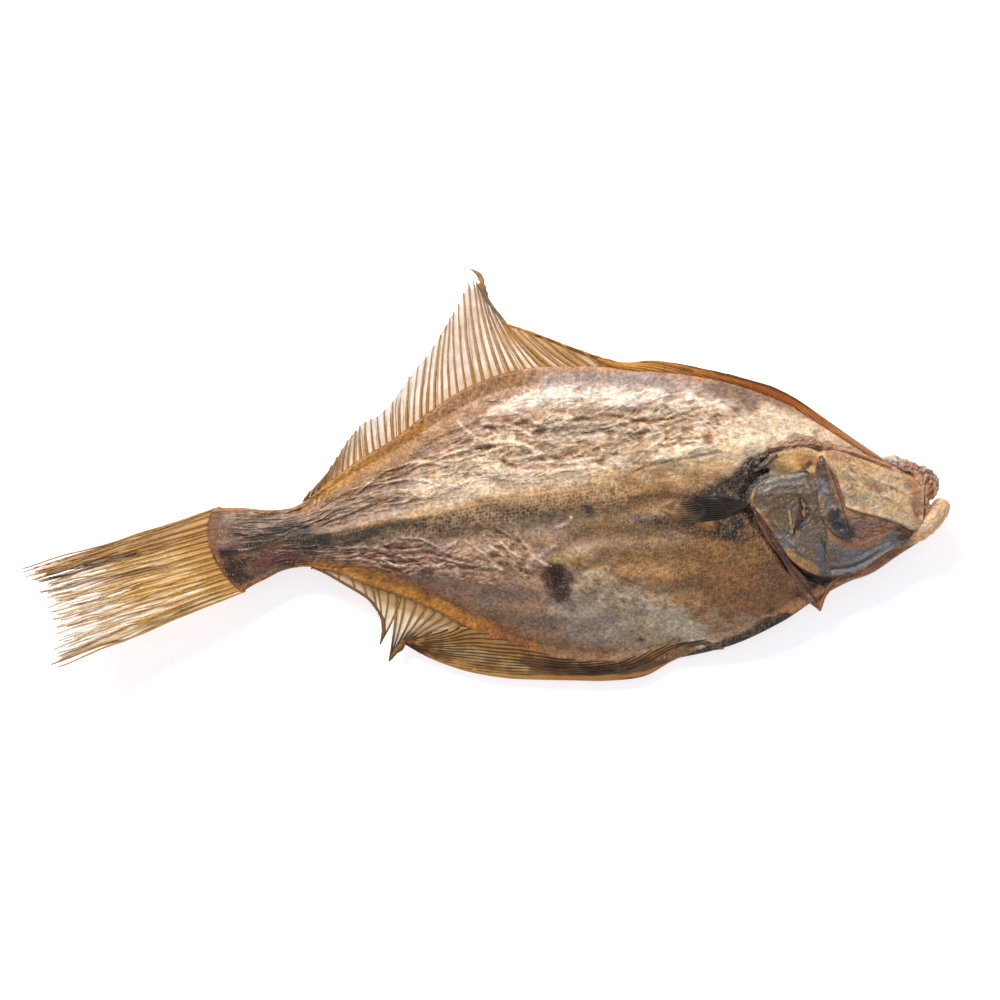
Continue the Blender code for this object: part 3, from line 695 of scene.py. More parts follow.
@dataclass
class ShaderSheet:
    """A material's node tree, with the few stretches of nodes that several finishes here share."""

    name: str
    material: Material = field(init=False)
    shader: Any = field(init=False)

    def __post_init__(self) -> None:
        """Make the material with its shader."""
        self.material = bpy.data.materials.new(self.name)
        self.material.use_nodes = True
        self.shader = self.material.node_tree.nodes["Principled BSDF"]

    def add(self, kind: str, links: Any = (), out: Any = 0, **settings: Any) -> Any:
        """Add a node to this material."""
        return add_node(self.material.node_tree, kind, links, out, **settings)

    def wrinkles(self, place: Any, size_mm: float, distortion: float) -> Any:
        """Sharp crests with round hollows between them, about 0 to 1."""
        crests = self.add(NOISE, {
            "Vector": place, "Scale": 1 / (size_mm * MM), "Detail": 1.6, "Roughness": 0.5, "Lacunarity": 2.1,
            "Offset": 1.0, "Gain": 1.6, "Distortion": distortion,
        }, noise_type="RIDGED_MULTIFRACTAL")
        return self.add(MAP, (crests, 0.2, 1.9))

    def cast(self, place: Any, size_mm: float, warm: str, cool: str) -> Any:
        """A tint that drifts between a warm and a cool colour."""
        drift = self.add(NOISE, {"Vector": place, "Scale": 1 / (size_mm * MM), "Detail": 6.0, "Roughness": 0.72})
        share = self.add(MAP, (drift, 0.38, 0.62))
        return self.add(MIX, {0: share, 6: rgba(warm), 7: rgba(cool)}, 2, data_type="RGBA")

    def finish(self, coats: Iterable[tuple[Any, Any, Coat]], reliefs: Iterable[tuple[Any, float, float]],
               settings: dict[str, Any]) -> Material:
        """Lay coats over the piece's paint, stack its reliefs and set the shader's other values.

        Args:
            coats: Share, colour and kind of each coat, in order.
            reliefs: Height, depth in millimetres and strength of each relief, in order.
            settings: The shader's socket to its value.

        Returns:
            The finished material.
        """
        colour, normal = self.add(ATTRIBUTE, out="Color", attribute_name="paint"), None
        for share, over, coat in coats:
            colour = self.add(MIX, {0: share, 6: colour, 7: over}, 2, data_type="RGBA", blend_type=coat.value)
        for height, depth, strength in reliefs:
            normal = self.add(BUMP, {"Height": height, "Distance": depth * MM, "Strength": strength, "Normal": normal})
        set_sockets(self.shader, {"Base Color": colour, "Normal": normal, **settings})
        return self.material


@dataclass(frozen=True)
class HideFinish:
    """Air-dried fish skin: leathery under a thin glossy coat, with painted highlights on its crests and painted shade
    in its hollows.
    """

    name: str = "air_dried_fish_skin"
    grain_mm: float = 0.42
    scale_mm: float = 1.0
    wrinkle_mm: float = 3.0
    # colours of the painted shade in the hollows and of the painted highlight on the crests
    hollow: str = "#bca286"
    crest: str = "#f3ece0"
    roughness: float = 0.5
    gloss: float = 0.1

    def material(self) -> Material:
        """Build the material."""
        sheet = ShaderSheet(self.name)
        add = sheet.add
        relief, scaly, wrinkled = (add(ATTRIBUTE, out="Fac", attribute_name=name)
                                   for name in ("relief", "scaly", "wrinkled"))
        place, flow = add("ShaderNodeTexCoord", out="Object"), add("ShaderNodeUVMap", uv_map="flow")
        # wrinkles too fine for the mesh, drawn out along the fish
        drawn = add("ShaderNodeMapping", {"Vector": flow, "Scale": (0.36, 1.0, 1.0)})
        folds = sheet.wrinkles(drawn, self.wrinkle_mm, 0.9)
        mottle, grain, specks, hairs = (
            add(NOISE, {"Vector": where, "Scale": 1 / (size_mm * MM), "Detail": detail, "Roughness": rough,
                        "Distortion": bend})
            for where, size_mm, detail, rough, bend in (
                # broad stains of dried fat and blood, which keep the painted zones from looking flat
                (place, 4.0, 7.0, 0.68, 0.0),
                # salt and pepper specks, as fine as the photo shows them
                (place, self.grain_mm, 3.0, 0.62, 0.0),
                (place, 2.4 * self.grain_mm, 4.0, 0.7, 0.0),
                # hair-fine wrinkles, which make the skin silky along the fish
                (drawn, 0.2 * self.wrinkle_mm, 4.0, 0.6, 0.6),
            ))
        # scale pockets, as dark pits between tan rims
        pockets = add("ShaderNodeTexVoronoi", {"Vector": flow, "Scale": 1 / (self.scale_mm * MM), "Randomness": 0.62})
        painted_fold_shade, painted_fold_highlight, pits, rims, folded, pitted = (add(TIMES, pair) for pair in (
            (add(MAP, (folds, 0.3, 0.05)), add(TIMES, (wrinkled, 0.7))),
            (add(MAP, (folds, 0.6, 1.0)), add(TIMES, (wrinkled, 0.35))),
            (add(MAP, (pockets, 0.42, 0.2)), add(MAP, (scaly, 0.1, 1.0, 0.0, 0.75))),
            (add(MAP, (pockets, 0.5, 0.7)), add(MAP, (scaly, 0.1, 1.0, 0.0, 0.4))),
            (folds, wrinkled), (pockets, scaly),
        ))
        return sheet.finish((
            (0.8, sheet.cast(place, 1.3, "#ffeacc", "#eeedf8"), Coat.TINT),
            (0.7, sheet.cast(place, 6.0, "#ffeed4", "#eae8f2"), Coat.TINT),
            # painted shade in the hollows and painted highlight on the crests, both read from the relief
            (add(MAP, (relief, 0.48, 0.14)), rgba(self.hollow), Coat.TINT),
            (1.0, add(MAP, (relief, 0.54, 0.9, 1.0, 1.2)), Coat.TINT),
            (add(MAP, (relief, 0.62, 1.0, 0.0, 0.3)), rgba(self.crest), Coat.COVER),
            (1.0, add(MAP, (mottle, 0.3, 0.7, 0.62, 1.42)), Coat.TINT),
            # painted shade in the hollows of the fine wrinkles and painted highlight on their crests
            (painted_fold_shade, rgba("#b08e74"), Coat.TINT),
            (painted_fold_highlight, rgba(self.crest), Coat.COVER),
            (1.0, add(MAP, (hairs, 0.34, 0.64, 0.8, 1.2)), Coat.TINT),
            (1.0, add(MAP, (specks, 0.32, 0.68, 0.6, 1.4)), Coat.TINT),
            (pits, rgba("#a07d5c"), Coat.TINT),
            (rims, rgba("#d9b98a"), Coat.COVER),
            (add(MAP, (grain, 0.6, 0.72, 0.0, 0.62)), rgba("#e9d2a8"), Coat.COVER),
            (add(MAP, (grain, 0.4, 0.3, 0.0, 0.6)), rgba("#4a331f"), Coat.COVER),
        ), ((grain, 0.16, 0.6), (hairs, 0.3, 0.5), (folded, 0.7, 0.8), (pitted, 0.35, 0.6)), {
            "Roughness": add(MAP, (mottle, 0.3, 0.7, self.roughness + 0.12, self.roughness - 0.12)),
            "Coat Weight": self.gloss, "Coat Roughness": 0.35, "IOR": 1.4,
        })


@dataclass(frozen=True)
class BoneFinish:
    """Skin dried tight over thin bone: smoother and glossier than the hide, with painted highlights on its crests and
    painted shade in its hollows.
    """

    name: str = "skin_dried_on_bone"
    speck_mm: float = 0.7
    # colours of the painted shade in the hollows and of the painted highlight on the crests
    hollow: str = "#2a1d15"
    crest: str = "#e6d6bb"
    roughness: float = 0.36
    gloss: float = 0.2

    def material(self) -> Material:
        """Build the material."""
        sheet = ShaderSheet(self.name)
        add = sheet.add
        place, relief = add("ShaderNodeTexCoord", out="Object"), add(ATTRIBUTE, out="Fac", attribute_name="relief")
        # smears of dried slime, brown over blue-grey
        clouds = add(NOISE, {"Vector": place, "Scale": 1 / (3.0 * MM), "Detail": 7.0, "Roughness": 0.74,
                             "Distortion": 1.0})
        # skin crumpled as it shrank onto the bone
        crumples = sheet.wrinkles(place, 3.4, 1.2)
        # pores and grit, and flakes of dried slime whose glints are painted as the palest specks
        specks = add(NOISE, {"Vector": place, "Scale": 1 / (self.speck_mm * MM), "Detail": 4.0, "Roughness": 0.7})
        return sheet.finish((
            (0.9, sheet.cast(place, 1.3, "#ffe6c2", "#e2e5f2"), Coat.TINT),
            (0.8, sheet.cast(place, 4.5, "#ffe8c6", "#dfe4f4"), Coat.TINT),
            # painted shade in the hollows and painted highlight on the crests, both read from the relief
            (add(MAP, (relief, 0.45, 0.0, 0.0, 0.6)), rgba(self.hollow), Coat.COVER),
            (add(MAP, (relief, 0.58, 1.0, 0.0, 0.3)), rgba(self.crest), Coat.COVER),
            (1.0, add(MAP, (clouds, 0.3, 0.7, 0.72, 1.42)), Coat.TINT),
            # painted shade in the crumples' hollows and painted highlight on their crests
            (add(MAP, (crumples, 0.2, 0.02, 0.0, 0.4)), rgba("#8a786a"), Coat.TINT),
            (add(MAP, (crumples, 0.7, 1.0, 0.0, 0.14)), rgba(self.crest), Coat.COVER),
            (1.0, add(MAP, (specks, 0.34, 0.66, 0.74, 1.32)), Coat.TINT),
            # painted glints on the palest specks
            (add(MAP, (specks, 0.63, 0.7, 0.0, 0.8)), rgba("#d8c7a8"), Coat.COVER),
        ), ((specks, 0.2, 0.6), (crumples, 0.46, 0.6), (clouds, 0.6, 0.7)), {
            "Roughness": add(MAP, (clouds, 0.3, 0.7, self.roughness + 0.14, self.roughness - 0.08)),
            "Coat Weight": self.gloss, "Coat Roughness": 0.3,
        })


@dataclass(frozen=True)
class RayFinish:
    """Horny fin rays: amber and a little clear at the root, paler and duller at the brittle tip."""

    name: str = "horny_fin_ray"
    joint_mm: float = 0.9
    roughness: float = 0.55

    def material(self) -> Material:
        """Build the material."""
        sheet = ShaderSheet(self.name)
        # uneven lumps of dried skin on the ray, as dark and light joints
        patches = sheet.add(NOISE, {"Vector": sheet.add("ShaderNodeTexCoord", out="Object"),
                                    "Scale": 1 / (self.joint_mm * MM), "Detail": 4.0, "Roughness": 0.66})
        tone = sheet.add(MAP, (patches, 0.32, 0.68, 0.74, 1.34))
        return sheet.finish([(1.0, tone, Coat.TINT)], [(patches, 0.14, 0.5)], {"Roughness": self.roughness, "IOR": 1.3})


@dataclass(frozen=True)
class WebFinish:
    """The parchment between fin rays: so thin that the table shows through where `thin` is 1."""

    name: str = "fin_parchment"
    clear: float = 0.3
    solid: float = 1.0
    roughness: float = 0.45

    def material(self) -> Material:
        """Build the material."""
        sheet = ShaderSheet(self.name)
        add = sheet.add
        # thicker and thinner patches, seen as darker and lighter parchment
        patches = add(NOISE, {"Vector": add("ShaderNodeTexCoord", out="Object"), "Scale": 1 / (2.4 * MM),
                              "Detail": 6.0, "Roughness": 0.7})
        thin = add(ATTRIBUTE, out="Fac", attribute_name="thin")
        cover = add(TIMES, (add(MAP, (thin, 0.0, 1.0, self.solid, self.clear)),
                            add(MAP, (patches, 0.3, 0.7, 1.15, 0.85))))
        return sheet.finish([(1.0, add(MAP, (patches, 0.3, 0.7, 0.8, 1.18)), Coat.TINT)], [(patches, 0.2, 0.4)],
                            {"Roughness": self.roughness, "Alpha": cover})


@dataclass(frozen=True)
class ScaleFinish:
    """Loose dry scales: thin horny flakes, each a little lighter or darker than the skin it lies on."""

    name: str = "dry_scale"

    def material(self) -> Material:
        """Build the material."""
        sheet = ShaderSheet(self.name)
        # each flake catches the light on its own
        tone = sheet.add(MAP, (sheet.add(ATTRIBUTE, out="Fac", attribute_name="tone"), 0.0, 1.0, 0.55, 1.5))
        grain = sheet.add(NOISE, {"Vector": sheet.add("ShaderNodeTexCoord", out="Object"), "Scale": 1 / (0.3 * MM),
                                  "Detail": 2.0, "Roughness": 0.6})
        return sheet.finish([(1.0, tone, Coat.TINT)], [(grain, 0.05, 0.4)],
                            {"Roughness": 0.42, "Coat Weight": 0.2, "Coat Roughness": 0.3})


@dataclass(frozen=True)
class EyeFinish:
    """A dried eye: a sunken dark ball, still glossy, clouded over its middle."""

    name: str = "dried_eye_ball"

    def material(self) -> Material:
        """Build the material."""
        sheet = ShaderSheet(self.name)
        # the clouded lens
        cloud = sheet.add(NOISE, {"Vector": sheet.add("ShaderNodeTexCoord", out="Object"), "Scale": 1 / (1.4 * MM),
                                  "Detail": 4.0, "Roughness": 0.6})
        share = sheet.add(MAP, (cloud, 0.45, 0.7, 0.0, 0.6))
        return sheet.finish([(share, rgba("#a39a88"), Coat.COVER)], [(cloud, 0.15, 0.4)],
                            {"Roughness": 0.18, "Coat Weight": 0.6, "Coat Roughness": 0.08})


# ------------ the body


@dataclass
class Body:
    """The body and head as one skin, lofted through ribs from the tail root to the jaws."""

    ribs: Route = route("""
-81.9,-9.6,-72.9,-34.8,1.1 -78.3,-9.5,-70.2,-33,2.1 -72.3,-9.6,-66,-30.9,3 -65.4,-10.2,-61.2,-28.5,3.6
  -58.8,-9.6,-55.8,-27.3,4.1 -54,-7.2,-51,-27.6,4.5 -46.8,-1.2,-43.8,-29.4,4.9 -37.8,5.1,-34.8,-33.3,5.5
  -27.9,11.1,-25.2,-36.6,6.1 -16.8,19.5,-14.4,-41.1,6.9 -4.8,27,-3.3,-47.4,7.6 9.3,31.8,10.2,-53.7,8.1
  24.9,33,25.2,-57.3,8.4 41.7,32.6,40.8,-58.2,8.6 58.2,31.2,56.7,-55.2,8.6 74.7,27.9,73.8,-51,8.5
  89.7,22.2,88.8,-43.8,8.2 98.7,16.5,98.7,-37.2,7.8 107.7,10.8,108,-32.1,7.2 115.2,6.3,115.8,-29.1,6.3
  122.7,4.5,123.3,-24,5 128.4,2.1,128.4,-20.7,4 132.3,-1.2,131.4,-18.6,3
""")  # x and y at the back edge, x and y at the belly edge, thickness of the flesh to each side
    crest: Route = route("-80,-20.7 -56,-19.2 -26,-13.2 4,-7.8 34,-3.3 64,7.2 95,11.5 132,-8")
    rings: int = 400
    top_points: int = 204
    under_points: int = 36
    middle: float = 7.0
    lifts: tuple[float, float, float] = (7.0, 2.2, 1.4)  # tail, head and edges
    belly_drop: float = 5.2
    tail_bulge: float = 5.0
    margin: float = 1.2
    band: float = 5.0
    fold_spacing: float = 2.2
    folds_across: float = 17.0
    fold_height: float = 0.54
    flesh_form: BVHTree | None = field(default=None, repr=False)

    def middle_height(self, x: Array, y: Array) -> Array:
        """Height of the fish's warped middle plane."""
        tail, head, edge = self.lifts
        # the tail rises from x = -20 on, the head from x = 60 on, and the belly sags between the two
        lift = tail * np.maximum(0.0, (-x - 20) / 120) ** 2 + head * np.maximum(0.0, (x - 60) / 75) ** 2
        sag = self.belly_drop * ease((-y - 22) / 34) * ease((x + 62) / 40) * ease((96 - x) / 40)
        return self.middle + lift + edge * ((y + 10) / 55) ** 2 - sag

    def crest_at(self, x: Array) -> Array:
        """The y of the ridge over the backbone."""
        known = self.crest.places
        first = np.clip(np.searchsorted(known[:, 0], x) - 1, 0, len(known) - 2)
        start, end = known[first], known[first + 1]
        share = ease((x - start[..., 0]) / (end[..., 0] - start[..., 0]))
        return start[..., 1] + (end[..., 1] - start[..., 1]) * share

    def flesh(self, reach: Array, half: Array, swell: Array) -> Array:
        """Thickness of the flesh over the middle plane.

        Args:
            reach: Distance in from the nearer edge.
            half: Half the body's width there.
            swell: The greatest thickness there.

        Returns:
            Millimetres to one side.
        """
        # a round rim, then a flat band where the ray roots lie, then the flesh
        rounding = np.sqrt(1 - (1 - np.minimum(reach / self.margin, 1.0)) ** 2)
        margin = np.minimum(self.margin, 0.75 * swell)
        rise = np.clip((reach - np.minimum(self.band, 0.16 * half)) / (0.62 * half), 0.0, 1.0)
        return margin * rounding + (swell - margin) * (1 - (1 - rise) ** 2.2)

    def folds(self, x: Array, aside: Array, span: Array) -> Array:
        """Long wandering wrinkles that follow the fish: they crowd together towards the tail.

        Args:
            x: Places along the fish.
            aside: Distance from the backbone's ridge, towards the back above 0.
            span: Distance from the ridge to the edge on that side.

        Returns:
            Height of the wrinkles, about -0.5 to 0.5.
        """
        row = 0.5 * aside / self.fold_spacing + 0.5 * aside / span * self.folds_across
        # divisors of x are the folds' lengths in millimetres
        bend = 1.0 * Noise(3).at(x / 17, row / 5) + 0.4 * Noise(4).at(x / 6, row / 2)
        broad = Noise(5).ridges(x / 24, (row + bend) / 1.5)
        narrow = Noise(6).ridges(x / 10, row * 1.15 + bend)
        return 0.7 * broad**2.6 + 0.6 * narrow**2.4 - 0.32

    def sections(self, side: Side, count: int) -> dict[str, Array]:
        """Places on one side of the body, ring by ring from the back edge to the belly edge.

        Args:
            side: The flank.
            count: Places in each ring.

        Returns:
            The places, their fine relief, and their distances from the ridge and from the nearer edge.
        """
        share = np.linspace(0, 1, self.rings)
        back_x, back_y, belly_x, belly_y, swell = (self.ribs.at(share)[:, [column]] for column in range(5))
        step = np.linspace(0, 1, count)[None, :]
        across = 0.8 * (1 - step) + 0.2 * (1 + np.cos(math.pi * step)) / 2
        if side is Side.EYED:
            across = across[:, ::-1]
        x, y = belly_x + (back_x - belly_x) * across, belly_y + (back_y - belly_y) * across
        x = x - self.tail_bulge * 4 * across * (1 - across) * (1 - ease(share[:, None] * 8))
        half = np.hypot(back_x - belly_x, back_y - belly_y) / 2
        reach = 2 * half * np.minimum(across, 1 - across)
        flesh = self.flesh(reach, half, swell)
        aside = y - self.crest_at(x)
        span = np.where(aside > 0, back_y - self.crest_at(x), self.crest_at(x) - belly_y)
        span = np.maximum(span, 3.0)
        inner = ease((reach - 3) / 6) * np.minimum(1.0, swell / 6)
        if side is Side.BLIND:
            coarse = self.coarse_relief(x, y, reach, swell)
            fine = self.fine_relief(x, y, aside, span, reach, inner)
            z = self.middle_height(x, y) + flesh + coarse + fine
        else:
            fine = 0.25 * inner * Noise(21).layered(x / 5, y / 3, 3)
            z = np.maximum(self.middle_height(x, y) - flesh + fine, 0.0)
        return {"x": x, "y": y, "z": z, "fine": fine, "aside": aside, "reach": reach, "span": span}

    def coarse_relief(self, x: Array, y: Array, reach: Array, swell: Array) -> Array:
        """The backbone's crest, the furrows beside it and the broad folds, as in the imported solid.

        Args:
            x: Places along the fish.
            y: Places across it.
            reach: Distance in from the nearer edge.
            swell: The greatest thickness there.

        Returns:
            Height of the relief.
        """
        aside = y - self.crest_at(x)
        inner = ease((reach - 5) / 8)
        # a crest 2.6 mm wide, furrows 11 mm to each side of it, and folds 8.5 mm apart that end at the head
        crest = 0.9 * np.exp(-((aside / 2.6) ** 2)) * ease((112 - x) / 30)
        furrow = 0.9 * np.exp(-(((np.abs(aside) - 11.0) / 5) ** 2)) * inner
        wander = 2.4 * np.sin(x / 11) + 1.2 * np.sin(x / 4.7 + 0.11 * y)
        fold = 0.45 * np.sin(math.tau * (y + wander) / 8.5) * inner
        return (crest - furrow + fold * ease((85 - x) / 30)) * np.minimum(1.0, swell / 8)

    def fine_relief(self, x: Array, y: Array, aside: Array, span: Array,
                    reach: Array, inner: Array) -> Array:
        """Wrinkles, crags, grooves and the slanting ribs of the bands along the edges.

        Args:
            x: Places along the fish.
            y: Places across it.
            aside: Distance from the backbone's ridge.
            span: Distance from the ridge to the edge on that side.
            reach: Distance in from the nearer edge.
            inner: How much relief the skin takes, from 0 at the edge to 1.

        Returns:
            Height of the relief.
        """
        flat = x.ravel(), y.ravel()
        zone = np.max([zone.share(*flat) for zone in FOLD_ZONES], axis=0).reshape(x.shape)
        height = self.fold_height * self.folds(x, aside, span) * zone
        for feature in SKIN_CREASES + SKIN_RIPPLES:
            height = height + feature.lift(*flat).reshape(x.shape) * inner
        # ribs over the ray roots, 2.6 mm apart along the back and 1.7 mm along the belly
        band = ease(1 - (reach - 1.5) / 7) * ease(reach / 1.5) * (1 - ease((x - 30) / 20)) * ease((x + 66) / 12)
        slant = np.where(aside > 0, 0.35, -0.55) * reach
        ribs = np.sin(math.tau * (x + slant) / np.where(aside > 0, 2.6, 1.7) + 2.6 * Noise(8).at(x / 5, y / 5))
        band_ribs = np.where(aside > 0, 0.22, 0.13) * band * ribs * (0.55 + 0.9 * Noise(15).at(x / 3, y / 3))
        grain = 0.08 * Noise(12).layered(x / 1.8, y / 1.4, 2)
        return height + band_ribs + grain * inner

    def build(self, paint: Paint, under: Paint, material: Material) -> Object:
        """Make the skin and its painted colours.

        Args:
            paint: Colours of the blind side.
            under: Colours of the eyed side.
            material: The skin's finish.

        Returns:
            The dressed object.
        """
        top, bottom = self.sections(Side.BLIND, self.top_points), self.sections(Side.EYED, self.under_points)
        ring = {key: np.concatenate([top[key], bottom[key]], axis=1) for key in top}
        points, faces = loft(np.stack([ring["x"], ring["y"], ring["z"]], axis=-1))
        made = new_object("body_skin", points, faces)
        is_top = np.concatenate([np.ones_like(top["x"]), np.zeros_like(bottom["x"])], axis=1).ravel()
        x, y = points[:, 0], points[:, 1]
        set_values(made, "paint", np.where(is_top[:, None] > 0, paint.at(x, y), under.at(x, y)))
        # the relief, which the skin's finish paints as shade in the hollows and as highlight on the crests
        set_values(made, "relief", np.concatenate([creased(np.maximum(side["fine"], -0.5), 1.15)
                                               for side in (top, bottom)], axis=1).ravel())
        set_values(made, "scaly", self.scaliness(x, y, ring["aside"].ravel(), is_top) * (points[:, 2] > 0.35))
        zones = np.max([zone.share(x, y) for zone in FOLD_ZONES], axis=0)
        set_values(made, "wrinkled", np.where(is_top > 0, zones, 0.2))
        set_flow(made, np.stack([x, ring["aside"].ravel()], axis=1))
        flesh = points - np.stack([x * 0, x * 0, ring["fine"].ravel()], axis=1)
        self.flesh_form = BVHTree.FromPolygons(flesh.tolist(), faces.tolist())
        finish_piece(made, material, Slot.SKIN)
        return made

    def scaliness(self, x: Array, y: Array, aside: Array, is_top: Array) -> Array:
        """Where the scales show as pits: under the backbone's line, on the breast and on the eyed side.

        Args:
            x: Places along the fish.
            y: Places across it.
            aside: Distance from the backbone's ridge.
            is_top: 1 on the blind side and 0 on the eyed side.

        Returns:
            From 0, smooth, to 1, all scales.
        """
        # a row under the backbone's crest, and a patch from the breast to the gill cover
        low = np.minimum(-3.2, -3.0 - 0.02 * x - (y - aside))
        line = 1.1 * np.exp(-(((aside - low) / 3.4) ** 2)) * ease((x + 42) / 30) * (1 - ease((x - 38) / 16))
        breast = ease((x - 22) / 25) * ease((-aside - 3) / 8) * (1 - ease((x - 84) / 8))
        blind = np.clip(line + 0.4 * breast, 0, 1)
        return np.where(is_top > 0, blind, 0.9)

    def height_at(self, x: Array, y: Array, side: Side = Side.BLIND) -> Array:
        """Height of the flesh, without its fine wrinkles.

        Args:
            x: Places along the fish.
            y: Places across it.
            side: The flank that is looked at.

        Returns:
            Heights, which beyond the body's edge are those of the middle plane.
        """
        flat_x, flat_y = np.ravel(x), np.ravel(y)
        heights = self.middle_height(flat_x, flat_y)
        for index, (px, py) in enumerate(zip(flat_x.tolist(), flat_y.tolist())):
            hit = self.flesh_form.ray_cast(Vector((px, py, side.value * 60.0)), Vector((0, 0, -side.value)))[0]
            if hit:
                heights[index] = hit.z
        return heights.reshape(np.shape(x))


UNDER_PAINT = Paint("#5d4a35", read_stains("""
eyed_dusk #4a3b2a .7 .9 .6 -60,-20,8 0,-10,26 70,-10,26
eyed_edge #8a6238 .8 .8 -50,-28,3 0,-50,4 50,-56,4 90,-42,4
eyed_edge_back #8a6238 .8 .8 -50,-4,3 -10,24,4 40,32,4 90,20,4
eyed_spot_a #332619 .6 .9 .6 -20,0,4 -19,0,4
eyed_spot_b #332619 .6 .9 .6 22,12,5 24,12,5
eyed_spot_c #332619 .6 .9 .6 30,-32,5 33,-32,5
eyed_spot_d #332619 .6 .9 .6 66,4,5 67,4,5
"""))


# ------------ what the geometry trees make


def ray_tree() -> NodeTree:
    """A tree that turns guide lines into jointed, tapered, branching fin rays.

    Returns:
        The tree. Its named inputs are sizes in metres, counts, the seed and the material.
    """
    tree = new_geometry_tree("fin_rays", (
        ("Guides", "Geometry", None), ("Steps", "Int", 16), ("Sides", "Int", 6),
        ("Root Radius", "Float", 0.4 * MM), ("Tip Radius", "Float", 0.15 * MM), ("Bow", "Float", 0.0),
        ("Branches", "Int", 1), ("Spread", "Float", 0.0), ("Fork Start", "Float", 0.4),
        ("Wander", "Float", 0.0), ("Wander Size", "Float", 8 * MM), ("Joint Depth", "Float", 0.12),
        ("Joints", "Float", 22.0), ("Size Spread", "Float", 0.15), ("Length Spread", "Float", 0.0),
        ("Seed", "Int", 0), ("Material", "Material", None),
    ))
    add = partial(add_node, tree)
    given = add("NodeGroupInput", out=None).outputs

    # each guide becomes a few branches, each with a number, a thickness and a length of its own
    copies = add("GeometryNodeDuplicateElements",
                 {0: add("GeometryNodeMeshToCurve", (given["Guides"],)), "Amount": given["Branches"]}, domain="SPLINE")
    marked = add(STORE, {0: copies, "Name": "branch", "Value": copies.node.outputs["Duplicate Index"]},
                 data_type="INT", domain="CURVE")
    chance = add(RANDOM, {2: -1.0, 3: 1.0, "Seed": given["Seed"]}, 1, data_type="FLOAT")
    rated = add(STORE, {0: marked, "Name": "size", "Value": chance}, data_type="FLOAT", domain="CURVE")
    loss = add(RANDOM, {2: 0.0, 3: 1.0, "Seed": add(ADD, (given["Seed"], 7.0))}, 1, data_type="FLOAT")
    end = add(SUBTRACT, (1.0, add(TIMES, (loss, given["Length Spread"]))))
    cut = add("GeometryNodeTrimCurve", {0: rated, "End": end}, mode="FACTOR")
    even = add("GeometryNodeResampleCurve", {0: cut, "Count": given["Steps"]})

    # the branches spread sideways beyond the fork, and the whole ray bows
    run, length = add("GeometryNodeSplineParameter", out="Factor"), add("GeometryNodeSplineLength", out="Length")
    aside = add(VECTOR + ":CROSS_PRODUCT", ((0.0, 0.0, 1.0), add("GeometryNodeInputTangent")))
    branch, size = (add(NAMED, {"Name": name}, data_type=kind) for name, kind in (("branch", "INT"), ("size", "FLOAT")))
    centred = add(SUBTRACT, (branch, add(DIVIDE, (add(SUBTRACT, (given["Branches"], 1.0)), 2.0))))
    opened = add(MAP, (run, given["Fork Start"], 1.0))
    fork = add(TIMES, (add(TIMES, (centred, given["Spread"])), add(POWER, (opened, 1.4))))
    bow = add(TIMES, (add(TIMES, (given["Bow"], length)), add(SINE, (add(TIMES, (run, math.pi)),))))
    shift = add(VECTOR + ":SCALE", {0: aside, "Scale": add(ADD, (fork, bow))})

    # brittle rays stray from their line, the more so towards their tips
    noise = add(NOISE, {
        "Vector": add("GeometryNodeInputPosition"), "W": add(ADD, (given["Seed"], add(TIMES, (size, 1.6)))),
        "Scale": add(DIVIDE, (1.0, given["Wander Size"])), "Detail": 2.0,
    }, "Color", noise_dimensions="4D")
    amount = add(TIMES, (given["Wander"], add(POWER, (run, 0.7))))
    stray = add(VECTOR + ":SCALE", {0: add(VECTOR, (noise, (-0.5, -0.5, -0.5))), "Scale": amount})
    moved = add("GeometryNodeSetPosition", {0: even, "Offset": add(VECTOR, (shift, stray))})

    # they taper and have joints like a bamboo's
    taper = add(MAP, (run, 0.0, 1.0, given["Root Radius"], given["Tip Radius"]))
    joint = add(ABSOLUTE, (add(SINE, (add(TIMES, (run, add(TIMES, (given["Joints"], math.pi)))),)),))
    taper = add(TIMES, (taper, add(ADD, (add(TIMES, (size, given["Size Spread"])), 1.0))))
    radius = add(TIMES, (taper, add(ADD, (add(TIMES, (joint, given["Joint Depth"])), 0.9))))
    sized = add("GeometryNodeSetCurveRadius", {0: moved, "Radius": radius})
    profile = add("GeometryNodeCurvePrimitiveCircle", {"Resolution": given["Sides"], "Radius": 1.0})
    solid = add("GeometryNodeCurveToMesh", {0: sized, 1: profile, "Fill Caps": True, "Scale": radius})
    return end_geometry_tree(tree, solid, given["Material"])


